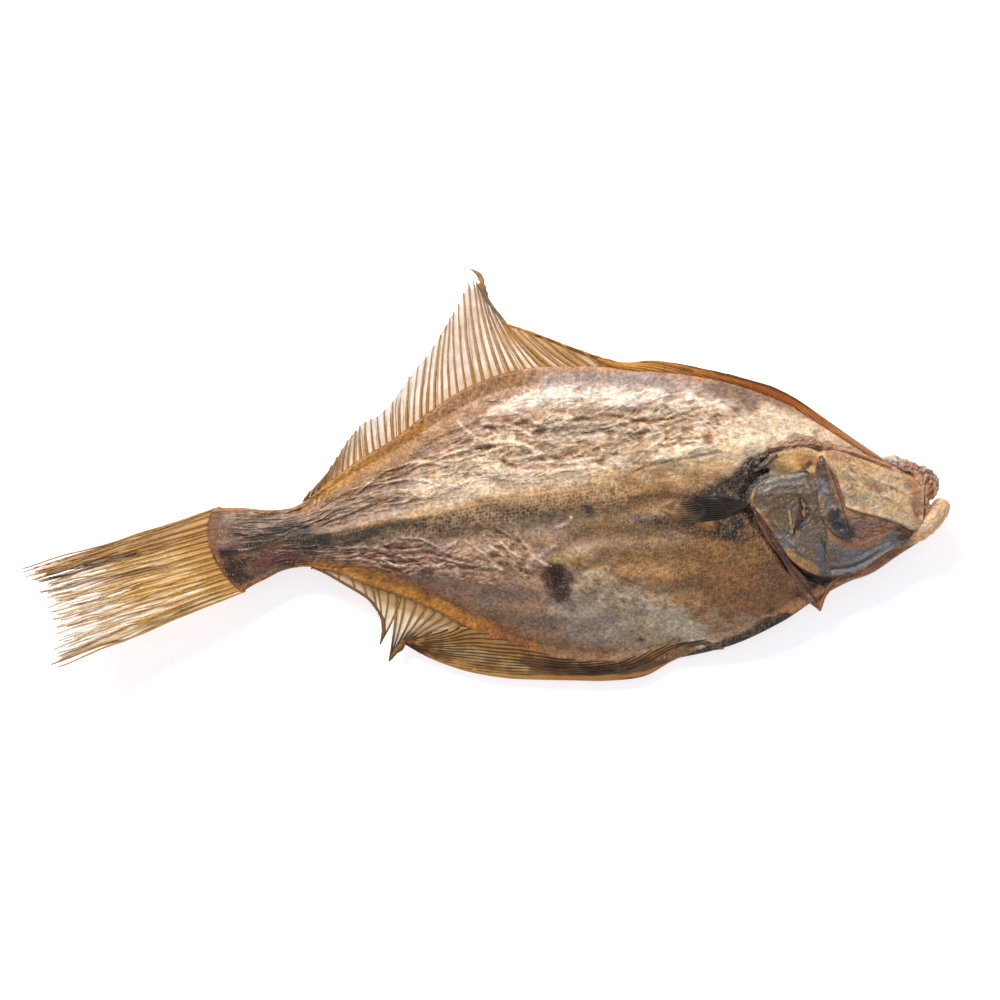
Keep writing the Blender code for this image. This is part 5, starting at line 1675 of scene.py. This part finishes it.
PLATES = (
    # painted shade in the V-shaped hollow of the gill cover
    Sheet("gill_cover", route("""
92.6,1.4 86.4,.1 82.9,-1.2 79.8,-3.9 78.5,-7.8 81.1,-11.4 84.6,-15.8 87.3,-20.2 89.9,-24.1 92.6,-26.5 95.2,-28.1
  98.7,-29.6 101.4,-30.3"""), route("""
94.8,2.2 97.2,.1 98.6,-3 98.6,-5.2 98.9,-8 99.2,-9.6 100.2,-13.1 101.2,-16 101.2,-18.4 101,-21 101.9,-23.7
  101.9,-27.2 102.1,-30.1
"""), (0.4, 0.6, 0.5), Paint("#6c5f51", read_stains("""
cover_arc #8b877e .8 1 .6 82,-4,2 85,-1.8,2.4 89,-.8,2.4 93,-1.2,1.8
cover_arc_light #9d9b94 .62 1 .4 84,-1.6,.6 88,-.4,.8 92,-.2,.8 95,.6,.6
cover_olive #5c4d36 .85 .9 .5 83,-7,2.6 87,-8.4,3 91,-6.6,2.4
cover_brown #6f5a40 .8 .9 .5 84,-12,1.8 87,-14,2 89,-12,1.6
cover_bluish #74767c .7 .9 .5 88,-18.6,2 90.4,-21,2
cover_lower_blue #6a6c74 .8 .9 .5 97,-21,2.4 99.6,-24,2.4 100.4,-27.6,1.8
cover_centre #7e705e .75 .9 .5 93,-20,2.2 96,-23,2
cover_rear #6f5b49 .8 .9 .4 95,-3,1.6 96.6,-8,1.8 98,-12,1.6
cover_spot #33261d .9 .8 95.4,1.8,1 96.4,3.2,1.2
cover_gold #c29a58 .88 .8 89.6,-22.6,1.1 93.4,-26,1.7 98,-28.6,1.4
cover_v #2b1d16 .95 .5 .2 93.8,-7,.7 94.6,-10,1.7 93.5,-14,1.5 91.6,-17.2,.6
cover_inner #5d4230 .9 .7 93.2,-9.6,.6 93,-12.5,.7
cover_ridge #a98f6e .85 90.1,-10.4,.3 90.6,-14,.35 91.2,-16.8,.3
cover_crack #2c211b .8 99.6,-18.8,.5 101,-21.5,.5 101.2,-25,.4
cover_rim #b08d5c .8 .8 .4 79.8,-4.2,.5 79,-7.8,.6 81.6,-11.4,.6 85,-16,.4
""")), read_creases("""
-.42 93.8,-7,.8 94.6,-10,1.5 93.5,-14,1.4 91.6,-17.2,.6
.35 90.1,-10.4,.45 90.6,-14,.5 91.2,-16.8,.45
.3 83.5,-2.4,.7 87,-.9,.9 91,-.6,.9 94.3,.2,.6
.25 83.4,-4.6,.6 87,-3.1,.7 91,-3,.7 94.3,-2.4,.5
.35 94.6,2,.7 95.8,-3,.9 97.2,-8,.7
.35 86,-14,.8 89,-18,.9 94,-23,.8
"""), lumps=0.2),
    Sheet("cheek", route("""
101.2,7.4 104.6,7.6 109,6.2 113.1,4.9 117,3.4 121,1.8 125,.6 128,-.6 130.8,-2.8"""), route("""
103.4,.6 105.4,-4.6 106.8,-9 109.6,-10.4 114,-11.6 118.6,-12.8 123.4,-14.4 127,-16.2 130.4,-15.4
"""), (0.3, 0.7, 0.5), Paint("#dcc7a4", read_stains("""
cheek_top #b58858 .85 .9 .5 102,6.6,1.4 105,5.4,1.6 109,5,1.2
cheek_olive #b09c72 .75 .9 .4 105,2,2 109,-1,3 112,-5,2.4
cheek_light #d6c296 .8 .9 .4 107.4,1.8,.8 110,-1.4,1.1 113.4,-4.6,1.1 115,-8,.8
cheek_light_two #c9ad79 .8 .9 .4 104.4,3.4,.8 109,3,.9 114,.6,.8
cheek_brown #c4a67a .7 .9 .4 112,3,1.2 118,.6,1.8 124,-1,1.6 128,-2,1.2
cheek_smudge #a58a60 .7 .9 .5 114.6,-2,1.8 118,-4.4,1.8
cheek_grey #b4a48c .75 .9 .5 108,-6,2.2 112,-8.4,2
cheek_pale #dcc39a .85 .9 .4 119,-7.4,2.2 124,-9.8,2.4 127,-13,2
cheek_mouth #a8775a .8 .9 .4 126.6,-2,1.6 128.4,-6,1.8 128.6,-11,1.6
cheek_rim #e0caa4 .9 .7 107,-9.4,.7 112,-11,.9 118,-12.4,.9 123.4,-14,.9 128.6,-16.6,.9
cheek_shadow #6b5038 .8 .8 103.4,1.6,.7 105,-4,.7 106.4,-8.6,.7
""")), read_creases("""
.5 103.5,6.4,.7 108,4.6,.8 112.5,1.8,.8 116,-.8,.7 122,-3.4,.6
.5 107.4,1.8,.7 110,-1.4,.8 113.4,-4.6,.8 115,-8.4,.6
.4 104.4,1.8,.6 107.6,-2,.7 109.4,-6.6,.6
.4 110,3.6,.6 117,1.2,.7 124,-.4,.5
-.6 109,1.6,1 113,-.6,1.2 118,-5,1
.5 118,-5.6,.8 123,-8,1 128,-13,.8
-.5 121,-4,.8 126,-6.6,.9 129,-12,.8
.4 107,-9.2,.6 112,-10.8,.7 118,-12.2,.7 123.4,-13.8,.7 128.6,-16.4,.6
"""), lumps=0.16, steps=(150, 80)),
    Sheet("jaw_membrane", route("""
105.6,-8.6 108.4,-9.6 112.8,-10.8 117.2,-12 121.6,-13.2 126,-15 127.6,-16.2"""), route("""
107.2,-18.2 111,-18.6 115,-18.1 119.4,-16.9 122.5,-16.7 125.1,-18 127.4,-18.4
"""), (0.1, 0.1, 0.1), Paint("#7d6355", read_stains("""
membrane_dark #2f2522 .9 .8 106.5,-14,2.2 108.5,-17,2
membrane_mid #7a6458 .8 .9 .5 110,-13,1.8 114,-15,2 119,-15,1.2
membrane_brown #8a6148 .8 .9 .4 111,-17,1.2 115,-16.8,1.2 119,-15.6,.9
membrane_end #5d3a26 .9 .8 123.6,-16,1.4 127,-17,1.4
""")), (Ripples("membrane_lines", (116, -15), (12, 4), -14, 1.3, 0.3, 5.0, 0.5),), crumple=0.4),
    # painted highlight along the crescent's lower ridge, and painted shade in the groove above it
    Sheet("jaw_crescent", route("""
100.6,-19.6 104,-19.8 108.4,-19.3 112.8,-19.5 115,-18.3 119.4,-16.9 122.9,-16.5 125.1,-17.7 126.6,-18.6"""), route("""
101.6,-30.1 106.6,-29.9 111.9,-28.8 115.4,-26.4 119.4,-23.3 122,-21.6 123.9,-20.4 125.6,-19.3 126.8,-18.9
"""), (0.1, 0.7, 0.4), Paint("#74716e", read_stains("""
crescent_top #8f6a4c .9 .8 106,-19.8,1.6 110,-20.8,2 114,-19.8,1.6 118,-18,1
crescent_left #6d5f50 .8 .9 .5 101.5,-21,1.8 103.4,-25,2
crescent_blue #7c7e86 .85 .9 .4 108,-24.6,2 114,-23.4,2 119,-20.6,1.6
crescent_light #b9bcc2 .85 .8 .2 104,-28.8,.9 108.4,-28.6,1.1 112,-27.4,1.1 116,-24.8,.9 121,-21.2,.7
crescent_line #3c3a40 .8 .8 .2 103,-27.4,.5 108,-27,.5 112,-25.6,.5 117,-22.4,.4
crescent_tip #3f2a22 .9 .8 123.4,-18,1.2 126,-18.4,1
""")), read_creases("""
.35 104,-26.2,.5 110,-25.4,.6 115.4,-22.8,.6 120.4,-20,.4
-.35 103,-27.6,.35 109,-27,.4 115,-24,.4 121,-20.6,.3
.3 103,-28.6,.35 109,-28.1,.4 115,-25.2,.4 121,-21.6,.3
-.3 106,-24,.5 111,-23.6,.5 116,-21,.4
"""), lumps=0.16, crumple=0.12),
    Sheet("cheek_blade", route("""
99.4,5.9 98.3,3 97.8,-.5 97.9,-5.5 98.7,-9.6 100.2,-13.4 102.2,-16.4 104.6,-18.4 108,-18.9"""), route("""
100.3,6.3 101.9,3.4 103.4,-.6 104.7,-4.6 106,-8.6 106.9,-12.2 107.6,-15.2 108.1,-17.2 108.6,-18.5
"""), (0.2, 1.1, 0.8), Paint("#6b5d50", read_stains("""
blade_top #54402f .9 .8 99.6,4.6,1.4 100.4,0,1.6 101,-3,1.4
blade_blue #787a82 .8 .8 .4 99.6,-2,1.2 100.6,-6,1.5 102.6,-10.4,1.4
blade_tip #2f2d33 .93 .8 .2 103.4,-12,2 105,-15,2.2 107.6,-18,1.6
blade_tan #8a7760 .8 .9 .5 99,-7,.9 100.4,-11,.9
blade_edge #9a6f4c .9 .7 101.4,4,.5 102.9,-.3,.55 104.2,-4.6,.55 105.5,-8.6,.5 106.4,-12.2,.4
""")), read_creases("""
-.4 98.8,3.4,.8 99.6,-2,1 101,-7,1 102.6,-11.6,.9 105.4,-15.8,.7
.5 101.2,4,.5 102.7,-.3,.6 104,-4.6,.6 105.3,-8.6,.6 106.3,-12.4,.5
"""), lumps=0.22, crumple=0.4),
    Sheet("crown", route("""
84.2,8.4 88,10.8 92.8,13.6 97.6,12.8 102,10.6 107,9.2 113,7 119,4.6 125,1.6"""), route("""
84,6.6 88.2,7.4 92.6,8.2 97,8.4 101.6,7.6 106.6,7.2 112.4,5.2 118.2,3.2 124.2,.4
"""), (-0.3, 0.45, -0.1), Paint("#b58f72", read_stains("""
crown_left #c9a58c .85 .8 .5 86,8.6,1 91,10.2,1.6 96,11.4,1.4
crown_dark #54382e .85 .8 .5 84,7.4,1 88.6,8.4,.7
crown_low #7a5039 .85 .8 .4 92,8.4,.7 98,8.6,.7 103,8.2,.6
crown_pale #dbb596 .85 .8 106,8.4,.6 114,6.2,.6 122,2.6,.6
crown_rust #9a623c .8 .8 107,7.4,.5 114,5,.5 121,2.2,.5
""")), (Ripples("crown_ripples", (97, 10), (16, 5), 24, 1.15, 0.5, 3.0, 1.0),
        Ripples("crown_pleats", (114, 6), (14, 4), -27, 0.9, 0.35, 7.0, 0.4)), crumple=0.6, steps=(170, 36)),
    Sheet("shoulder_bone", route("""
78.6,-8.6 80.4,-13.2 83.4,-19.2 86.7,-23.1 89.7,-27.6 92.7,-32.7 96,-37.2 99.8,-40.2"""), route("""
80.1,-9.6 82.8,-13.9 86.1,-19 89.1,-23.8 92.7,-27.7 96,-31 98.7,-34.6 100.5,-39.8
"""), (0.3, 0.8, 0.1), Paint("#75503a", read_stains("""
shoulder_tan #866348 .85 .9 90,-29,1.4 94,-33.4,2 98,-37.6,1.2
shoulder_mauve #7a5248 .7 .9 .4 83,-17,1.2 88,-24,1.4
shoulder_line #3f281a .85 .6 .2 79.6,-9.6,.35 82.4,-15,.4 86,-21,.45 90,-26.4,.45 94,-31.4,.4 98.4,-36.8,.35
""")), (Ripples("shoulder_lines", (88, -25), (18, 4), -56, 1.1, 0.35, 9.0, 0.4),), steps=(130, 30)),
    Sheet("throat", route("92.4,-30.5 95,-34.6 97.8,-38 100,-40.6"),
        route("97.5,-31.4 101.6,-33.4 101.8,-36.4 100.6,-40.4"), (0.1, 0.6, 0.1),
        # painted shade in the hollow of the throat
        Paint("#8b6547", read_stains("""
throat_orange #a3734c .85 .8 95.4,-32.4,.8 98,-36.4,.9 99.8,-39.4,.6
throat_black #1c1213 .9 .8 97,-31.6,1.2 98.4,-32.6,1
""")), steps=(70, 40)),
)

LIP_PAINT = Paint("#bb9480", read_stains("""
lip_crag #d8ccc2 .9 .8 .4 119,4.8,1.4 124,4.6,1.4
lip_mid #a0735e .8 .9 .4 126,3,1.4 130,1.6,1.4
lip_pale #c2a48a .8 .9 .4 133,.6,1.6 134.6,-2.6,1.6
lip_inner #8a553a .8 .8 131.4,-3,1 130.6,-8,1
"""))
# painted highlight along the top of the lower jaw
JAW_PAINT = Paint("#e6c59c", read_stains("""
jaw_pale #ead2b4 .8 .9 .4 130,-15,1.6 134,-12,1.8 136.4,-9,1.6
jaw_rear #a8835d .8 .9 122,-21,2 126,-19.2,2
jaw_mouth #a67d55 .8 .8 128.6,-13.6,.8 131.6,-10.6,.9 134.4,-7.6,.9
"""))
CHIN_PAINT = Paint("#a5683a", read_stains("""
chin_tan #bd8a58 .8 .8 .4 104,-33,.8 112,-29.8,.8 119,-25,.8
chin_dark #4a2f20 .7 .8 .6 106,-31.4,.6 112,-29.2,.6
"""))
CRAG_PAINT = Paint("#6f5f58", read_stains("crag_gold #a8825a .85 .9 .4 88,8,2 96,8,2"))
EDGE_PAINT = Paint("#7a5026", read_stains("""
edge_grey #7a6c60 .8 .8 -3,60,2 0,55,2 5,46,2
edge_hook #a5774a .85 .8 -5,62,2 -1,58,2
edge_gold #b98440 .8 .8 6,46,1.4 14,43.4,1.4
"""))
SPIKE_PAINT = Paint("#7a5630")
BREAST_PAINT = Paint("#2e2620", read_stains("breast_grey #6b5a49 .8 .8 68,-51.4,1.2 74,-50.4,1.2"))

STRANDS = (
    Strand("upper_lip", route(
        "119.4,4.4,.6,.9 124,3.7,1,1.5 128.2,1.9,1.6,1.8 131,.6,1.6,2.1 133.2,-1.4,1,2.1 133.6,-3.8,.9,1.9 "
        "131.8,-6.6,1.6,1.3"), LIP_PAINT, lumps=0.4, steps=(120, 28)),
    Strand("upper_jaw_bone", route(
        "131.6,-1.4,1.6,1.2 131.4,-5,2,1.5 131.2,-8.6,2,1.6 131.3,-12,1.6,1.5 131.4,-15.6,1,1.2"),
        Paint("#c39a7c"), lumps=0.4),
    Strand("lip_fold", route(
        "127.4,2.2,2,.5 129.4,0,2.4,1.1 130.2,-3.4,2.6,1.2 129.6,-7,2.6,1.1 129,-10.2,2.2,.6"),
        Paint("#cda98c"), lumps=0.4),
    Strand("lip_fold_outer", route(
        "131.6,.2,1.6,.7 132.4,-3.2,2.2,1 131.6,-6.4,2.4,1 130.6,-9.6,2.2,.9 131.6,-13,1.6,.6"),
        Paint("#a8704e"), lumps=0.4),
    Strand("mouth_fold", route(
        "128,-9.6,2,.5 129.8,-11.6,2,.9 130,-14,1.8,1 128.4,-16.4,1.4,.6"), Paint("#8f5c3e"), lumps=0.4),
    Strand("lower_jaw", route(
        "121.4,-22.2,.2,.8 126,-19.4,.8,1.7 130,-16.6,1.4,2.8 133,-13.6,1.6,3.1 135.4,-10.6,1.4,3 "
        "136.9,-6.8,1,2.5"), JAW_PAINT, lumps=0.07, steps=(120, 28)),
    Strand("snout_crag", route(
        "118.6,4.9,.9,.7 122.5,4.9,1.2,1.3 126.2,3.2,1.6,.9"), LIP_PAINT, lumps=0.5),
    Strand("spur_bone", route(
        "79.8,1.4,-.2,.5 82.9,3.6,.3,.8 86.6,6.6,.1,.7"), CRAG_PAINT, lumps=0.4, on_flesh=True),
    Strand("shoulder_crag", route(
        "75.8,-1.7,-.4,.6 77.6,1.6,0,1.2 80.6,4.4,0,1.2 84.2,6.9,-.3,.7"), Paint("#4a3329"), lumps=0.8, on_flesh=True),
    Strand("chin_outer", route(
        "99.8,-40.2,.6,.4 101.2,-36.4,.7,.6 103.8,-32.9,.8,.7 107.8,-30.6,.8,.7 111.7,-29.6,.8,.7 "
        "117,-26.1,.8,.7 121.4,-22.7,.7,.7 125.6,-20.2,.6,.6"), CHIN_PAINT, lumps=0.3),
    Strand("chin_inner", route(
        "100.2,-38.6,-.1,.4 102.4,-33.6,0,.6 106.8,-29.8,0,.6 111.4,-28.7,0,.6 116.4,-25.2,0,.6 "
        "121,-21.8,0,.5"), Paint("#8e643f"), lumps=0.3, on_flesh=True),
    Strand("back_fin_edge", route(
        "5.4,45.6,1.3,.3 13.4,42.9,1.2,.45 22.1,39.5,1,.5 31.9,35.9,.7,.55 38.7,33.9,.4,.6 44,32.6,.1,.6"),
        EDGE_PAINT, slot=Slot.RAYS, lumps=0.3),
    Strand("back_fin_peak_edge", route(
        "-2.2,57.6,1.5,.6 -.7,54.6,1.5,.6 2.2,50.2,1.4,.55 6,45.8,1.3,.35"), EDGE_PAINT, slot=Slot.RAYS),
    Strand("back_fin_hook", route(
        ".2,53,1.4,.55 -.9,56.4,1.5,.95 -2,60,1.5,.6 -4.6,61.9,1.4,.15"), EDGE_PAINT, slot=Slot.RAYS, lumps=0.5),
    Strand("belly_fin_spike", route(
        "-32.4,-40.5,.6,.45 -31,-43.7,.6,.6 -31,-47.6,.6,.6 -32,-50.8,.6,.2"), SPIKE_PAINT, slot=Slot.RAYS),
    Strand("belly_fin_leading", route(
        "-52.2,-27.2,.1,.3 -47.8,-29.2,.3,.4 -43,-32,.4,.45 -38.4,-34.7,.5,.45 -35.1,-37,.6,.45 "
        "-32.4,-40.6,.6,.45"), SPIKE_PAINT, slot=Slot.RAYS),
    Strand("belly_fin_knot", route(
        "-29.2,-55.6,.5,.25 -27.6,-53.4,.8,.8 -25.8,-51.4,1,1 -24.8,-49.4,1,.8"),
        SPIKE_PAINT, slot=Slot.RAYS, lumps=0.3),
    Strand("breast_spike", route(
        "66.7,-49.4,-.6,.6 70.9,-48.6,-.4,1.3 76,-46.6,-.3,1.6 81,-44.4,-.3,1.5 86,-42.8,-.8,1 "
        "90,-42.4,-1.6,.5"), BREAST_PAINT, slot=Slot.SKIN, lumps=0.5),
)

FOLDED_FINS = (
    FoldedFin(Sheet("folded_front_fin", route("""
33,34.4 40.6,31.6 49.8,30.6 59.4,29.9 66.3,28.9 75,27 81.6,24.8 86.2,22.9 92.6,19.8 101,14.6 110.2,8.6 118.6,4"""),
        route("""
33.6,35.4 41.4,34 49.8,34.7 57,33.8 64.8,32.3 72.6,30.6 79.2,28.7 85.8,26.9 93.6,22.9 100.8,17.9 108.6,12.4
  118.9,5.4
"""), (0.2, 1.5, 0.3), Paint("#8d5222", read_stains("""
front_rear #bf8a48 .85 1 .2 38,33.4,2.6 50,33.6,2.4 64,31.6,1.4
front_skin #b48a6a .9 .9 40,30.6,1 60,29.4,1 75,26.2,.9 86,22.2,.9 96,16.8,1 108,9.2,1
front_rim #4d3722 .9 .9 .2 52,34.4,.6 64,32.5,.9 74,30.1,1 86,26.6,1 94,22.5,.9 102,17,.7 112,10,.5
front_head #a87a52 .75 .9 100,16,1.2 108,10.4,1.6 118,5,1.8
""")), thickness=1.6, lumps=0.1, crumple=0.0, steps=(170, 30), on_flesh=False), 20, Paint("#a5581c", read_stains("""
front_pale #c48a3a .9 .9 34,34,2.2 50,33.4,2.2 64,31,.9
front_amber #b3702a .7 1.3 .5 56,33,1.8 66,31,1.8 76,28.4,.8
front_streak #7a4c1e .9 46,34.4,.5 54,33,.6 62,31.4,.5
front_mid #bd8250 .8 .9 92,19,2.4 104,12,2.2 118,4.6,2
front_rim #3f2e1c .92 .8 56,34.4,.6 66,32.4,.9 74,30.5,1.1 86,27,1.1 94,22.9,.9 102,17.4,.6 112,10.4,.4
""")), reach=0.4, radii=(0.32, 0.14), lift=-0.04, wander=0.7),
    FoldedFin(Sheet("folded_belly_fin", route("""
-24.4,-49.4 -18.4,-47.4 -11.1,-46.1 -5.6,-45.4 2.6,-47.8 11.3,-50.9 22.2,-54.6 33,-55.6 41.5,-55.4 50,-52.2
  58,-50 66.7,-49.2"""), route("""
-24.4,-50.7 -18,-54.5 -12,-57 -4.3,-59.3 6,-61 16,-61.5 26,-61.7 37,-61.8 47.8,-60.4 56,-56 62.5,-53.4 72,-52.2
"""), (1.0, 1.2, 0.0), Paint("#9a7038", read_stains("""
flap_gold #c08e42 .9 .9 -16,-55,.9 4,-60,.9 26,-61.5,.9 40,-61.6,.6
flap_grey #b09468 .8 .9 .5 -16,-51,1.6 0,-54.6,1.6 12,-58,1
flap_brown #4e3112 .9 .9 .4 12,-56,1.8 30,-58.6,2.4 48,-58,2.8 62,-52,2
flap_rust #b87a3a .85 .8 .5 18,-60.6,.7 34,-60.8,.7 48,-59.6,.7 58,-55,.5
flap_end #4a3423 .9 .9 60,-53,1.4 66,-49.8,1.8 74,-47,2
""")), thickness=1.2, crumple=0.0, steps=(170, 30), on_flesh=False), 17, Paint("#583515", read_stains("""
flap_rim #a8742f .85 .7 -14,-56.4,.7 4,-60.8,.7 24,-61.6,.7 46,-61,.7 60,-54.6,.7
flap_dark #2c1b0d .85 .9 .5 20,-56,2.4 34,-58,2.4 50,-57,2
flap_end #3a2718 .9 .9 56,-55,2.2 64,-50.4,2 74,-47,2
flap_pale #7a5628 .7 .9 .6 -14,-55,1 2,-58.4,1.2 16,-60,.8
""")), radii=(0.27, 0.15), lift=-0.04, wander=0.8),
    FoldedFin(Sheet("arm_fin", route("""
51.6,-9.6 54.5,-8.2 58,-7 61.8,-6.4 66.9,-6 72.1,-6.4 75.5,-7.6 77.9,-8.3"""), route("""
52.4,-10.6 55.2,-12.6 57.4,-13.8 60.2,-14.2 65,-13.6 70.4,-12.7 74,-11.2 77.9,-9.2
"""), (0.06, 0.3, 0.1), Paint("#1f1611", read_stains("""
arm_tip #8a6440 1 1.3 .8 50,-9.8,4.4 55,-10.6,4
arm_dusk #4f3b2a .8 1.2 .7 58,-7.6,2 60,-13,2
""")), lumps=0.16, steps=(90, 40)), 11, Paint("#2b221d", read_stains("""
arm_tip #86613a 1 1.3 .8 50,-9.8,4.6 56,-10.8,4.2
arm_dusk #574230 .8 1.2 .7 59,-7.6,2 61,-13,2
""")), rooted_along=False, radii=(0.3, 0.16), lift=-0.08),
)

LATERAL_LINE = route("-72,-20.4 -56,-19.2 -40,-16.6 -26,-13.2 -10,-10.4 4,-7.8 20,-5.4 34,-3.3 48,-.8 62,1.4")


@dataclass(frozen=True)
class Eye:
    """A sunken eye on the side that the fish lies on, with the lid that dried round it."""

    name: str
    place: Place
    radius: float = 4.1
    height: float = 1.7
    sides: int = 40

    def build(self, body: Body, ball: Material, skin: Material) -> None:
        """Make the ball and its lid.

        Args:
            body: The body that the eye lies under.
            ball: The eye's finish.
            skin: The lid's finish.
        """
        x, y = self.place
        ground = float(body.height_at(np.array([x]), np.array([y]), Side.EYED)[0])
        share = np.linspace(-1, 1, self.sides)
        turn = np.linspace(0, math.tau, self.sides, endpoint=False)
        radius = np.maximum(np.sqrt(1 - share**2), 0.01)[:, None]
        shape = np.stack([np.repeat(share[:, None], self.sides, axis=1), radius * np.cos(turn), radius * np.sin(turn)],
                         axis=-1)
        points = np.array([x, y, ground]) + shape * np.array([self.radius, self.radius, self.height])
        points[..., 2] = np.maximum(points[..., 2], 0.2)
        finish_piece(new_object(self.name, *loft(points)), ball, Slot.EYE, Paint("#16120f"))
        rim = self.radius + 0.3
        lid = Route(np.array([(x + rim * math.cos(turn), y + rim * math.sin(turn), 0.2, 0.7)
                              for turn in np.linspace(0, math.tau, 13)]))
        rolled = Strand(self.name + "_lid", lid, Paint("#5b4834"), side=Side.EYED, slot=Slot.SKIN, on_flesh=True)
        rolled.build(body, skin)


EYES = (Eye("eye_front", (118.5, -3.5), 3.9), Eye("eye_rear", (109.5, -2.0)))


# ------------ scales


def strew_scales(skin: Object, material: Material) -> None:
    """Lay loose dry scales on the body's skin."""
    made = bpy.data.objects.new("loose_scales", skin.data.copy())
    bpy.context.scene.collection.objects.link(made)
    apply_tree(made, scale_tree(), {
        "Density": 5e5, "Radius": 0.24 * MM, "Height": 0.12 * MM, "Tilt": 0.35, "Seed": 5, "Material": material,
    })
    # the lowest scales lie flat on the table
    places = places_of(made)
    places[:, 2] = np.maximum(places[:, 2], 0.0)
    made.data.vertices.foreach_set("co", (places * MM).ravel())
    finish_piece(made, material, Slot.SKIN)


def lay_line_scales(body: Body, material: Material) -> None:
    """Lay the scales of the lateral line over the backbone."""
    places = LATERAL_LINE.at(np.linspace(0, 1, 120))
    height = body.height_at(places[:, 0], places[:, 1])
    points = np.concatenate([places, height[:, None] + 0.05], axis=1)
    made = new_object("line_scales", points, (), [(index, index + 1) for index in range(len(points) - 1)])
    apply_tree(made, line_scale_tree(), {"Seed": 9, "Material": material})
    finish_piece(made, material, Slot.SKIN, Paint("#a38058"))


# ------------ studio


@dataclass(frozen=True)
class Studio:
    """A plain white table, soft light from beyond the back fin, and a camera straight above."""

    centre: tuple[float, float, float] = (4.2, -7.2, 8.0)  # millimetres: the middle of the picture
    field_mm: float = 300.0
    lens_mm: float = 100.0
    sensor_mm: float = 36.0
    table: str = "#f7f5f8"
    table_mm: float = 2000.0  # from the middle to each side
    table_glow: float = 0.56  # lifts the lit table to white, so that only real shadow stays grey
    sky: float = 0.42

    def build(self) -> None:
        """Make the table, the lights and the camera."""
        self.build_table()
        self.build_light("key", (-0.34, 0.76, 0.58), 0.36, 12.5)
        self.build_light("fill", (0.3, -0.8, 0.9), 0.9, 2.2)
        scene = bpy.context.scene
        scene.world = bpy.data.worlds.new("studio")
        scene.world.use_nodes = True
        set_sockets(scene.world.node_tree.nodes["Background"], {"Color": rgba("#f4f5fb"), "Strength": self.sky})
        scene.view_settings.view_transform = "Standard"
        camera = bpy.data.cameras.new("camera")
        camera.lens = self.lens_mm
        camera.sensor_width = self.sensor_mm
        distance = self.field_mm * self.lens_mm / self.sensor_mm
        scene.camera = bpy.data.objects.new("camera", camera)
        scene.camera.location = Vector(self.centre) * MM + Vector((0, 0, distance * MM))
        scene.collection.objects.link(scene.camera)

    def build_table(self) -> None:
        """A wide plain sheet under the fish."""
        corners = [(x * self.table_mm, y * self.table_mm, 0.0) for x, y in ((-1, -1), (1, -1), (1, 1), (-1, 1))]
        table = new_object("table", np.array(corners), [(0, 1, 2, 3)])
        # bright matt paper, which throws light back up into the translucent fins
        sheet = ShaderSheet("white_paper")
        set_sockets(sheet.shader, {"Base Color": rgba(self.table), "Roughness": 0.7,
                                   "Emission Color": rgba(self.table), "Emission Strength": self.table_glow})
        table.data.materials.append(sheet.material)

    @staticmethod
    def build_light(name: str, place: tuple[float, float, float], size: float, power: float) -> None:
        """A square soft light that faces the fish, with its place in metres."""
        light = bpy.data.lights.new(name, "AREA")
        light.size = size
        light.energy = power
        placed = bpy.data.objects.new(name, light)
        placed.location = place
        placed.rotation_euler = (-Vector(place)).to_track_quat("-Z", "Y").to_euler()
        bpy.context.scene.collection.objects.link(placed)


def main() -> None:
    """Load the frame and build every piece round it."""
    logging.basicConfig(level=logging.INFO, format="%(name)s: %(message)s")
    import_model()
    Studio().build()
    hide, bone, scale = HideFinish().material(), BoneFinish().material(), ScaleFinish().material()
    ray, web, ball = RayFinish().material(), WebFinish().material(), EyeFinish().material()
    skins = {Slot.BONE: bone, Slot.RAYS: ray, Slot.SKIN: hide}
    body = Body()
    skin = body.build(SKIN_PAINT, UNDER_PAINT, hide)
    strew_scales(skin, scale)
    lay_line_scales(body, scale)
    for plate in PLATES:
        plate.build(body, bone, Slot.BONE)
    for strand in STRANDS:
        strand.build(body, skins[strand.slot])
    for eye in EYES:
        eye.build(body, ball, hide)
    rays = ray_tree()
    for fin in FINS:
        fin.build_web(body, web)
        fin.build_rays(body, rays, ray)
    for folded in FOLDED_FINS:
        folded.build(body, rays, web, ray)


if __name__ == "__main__":
    main()
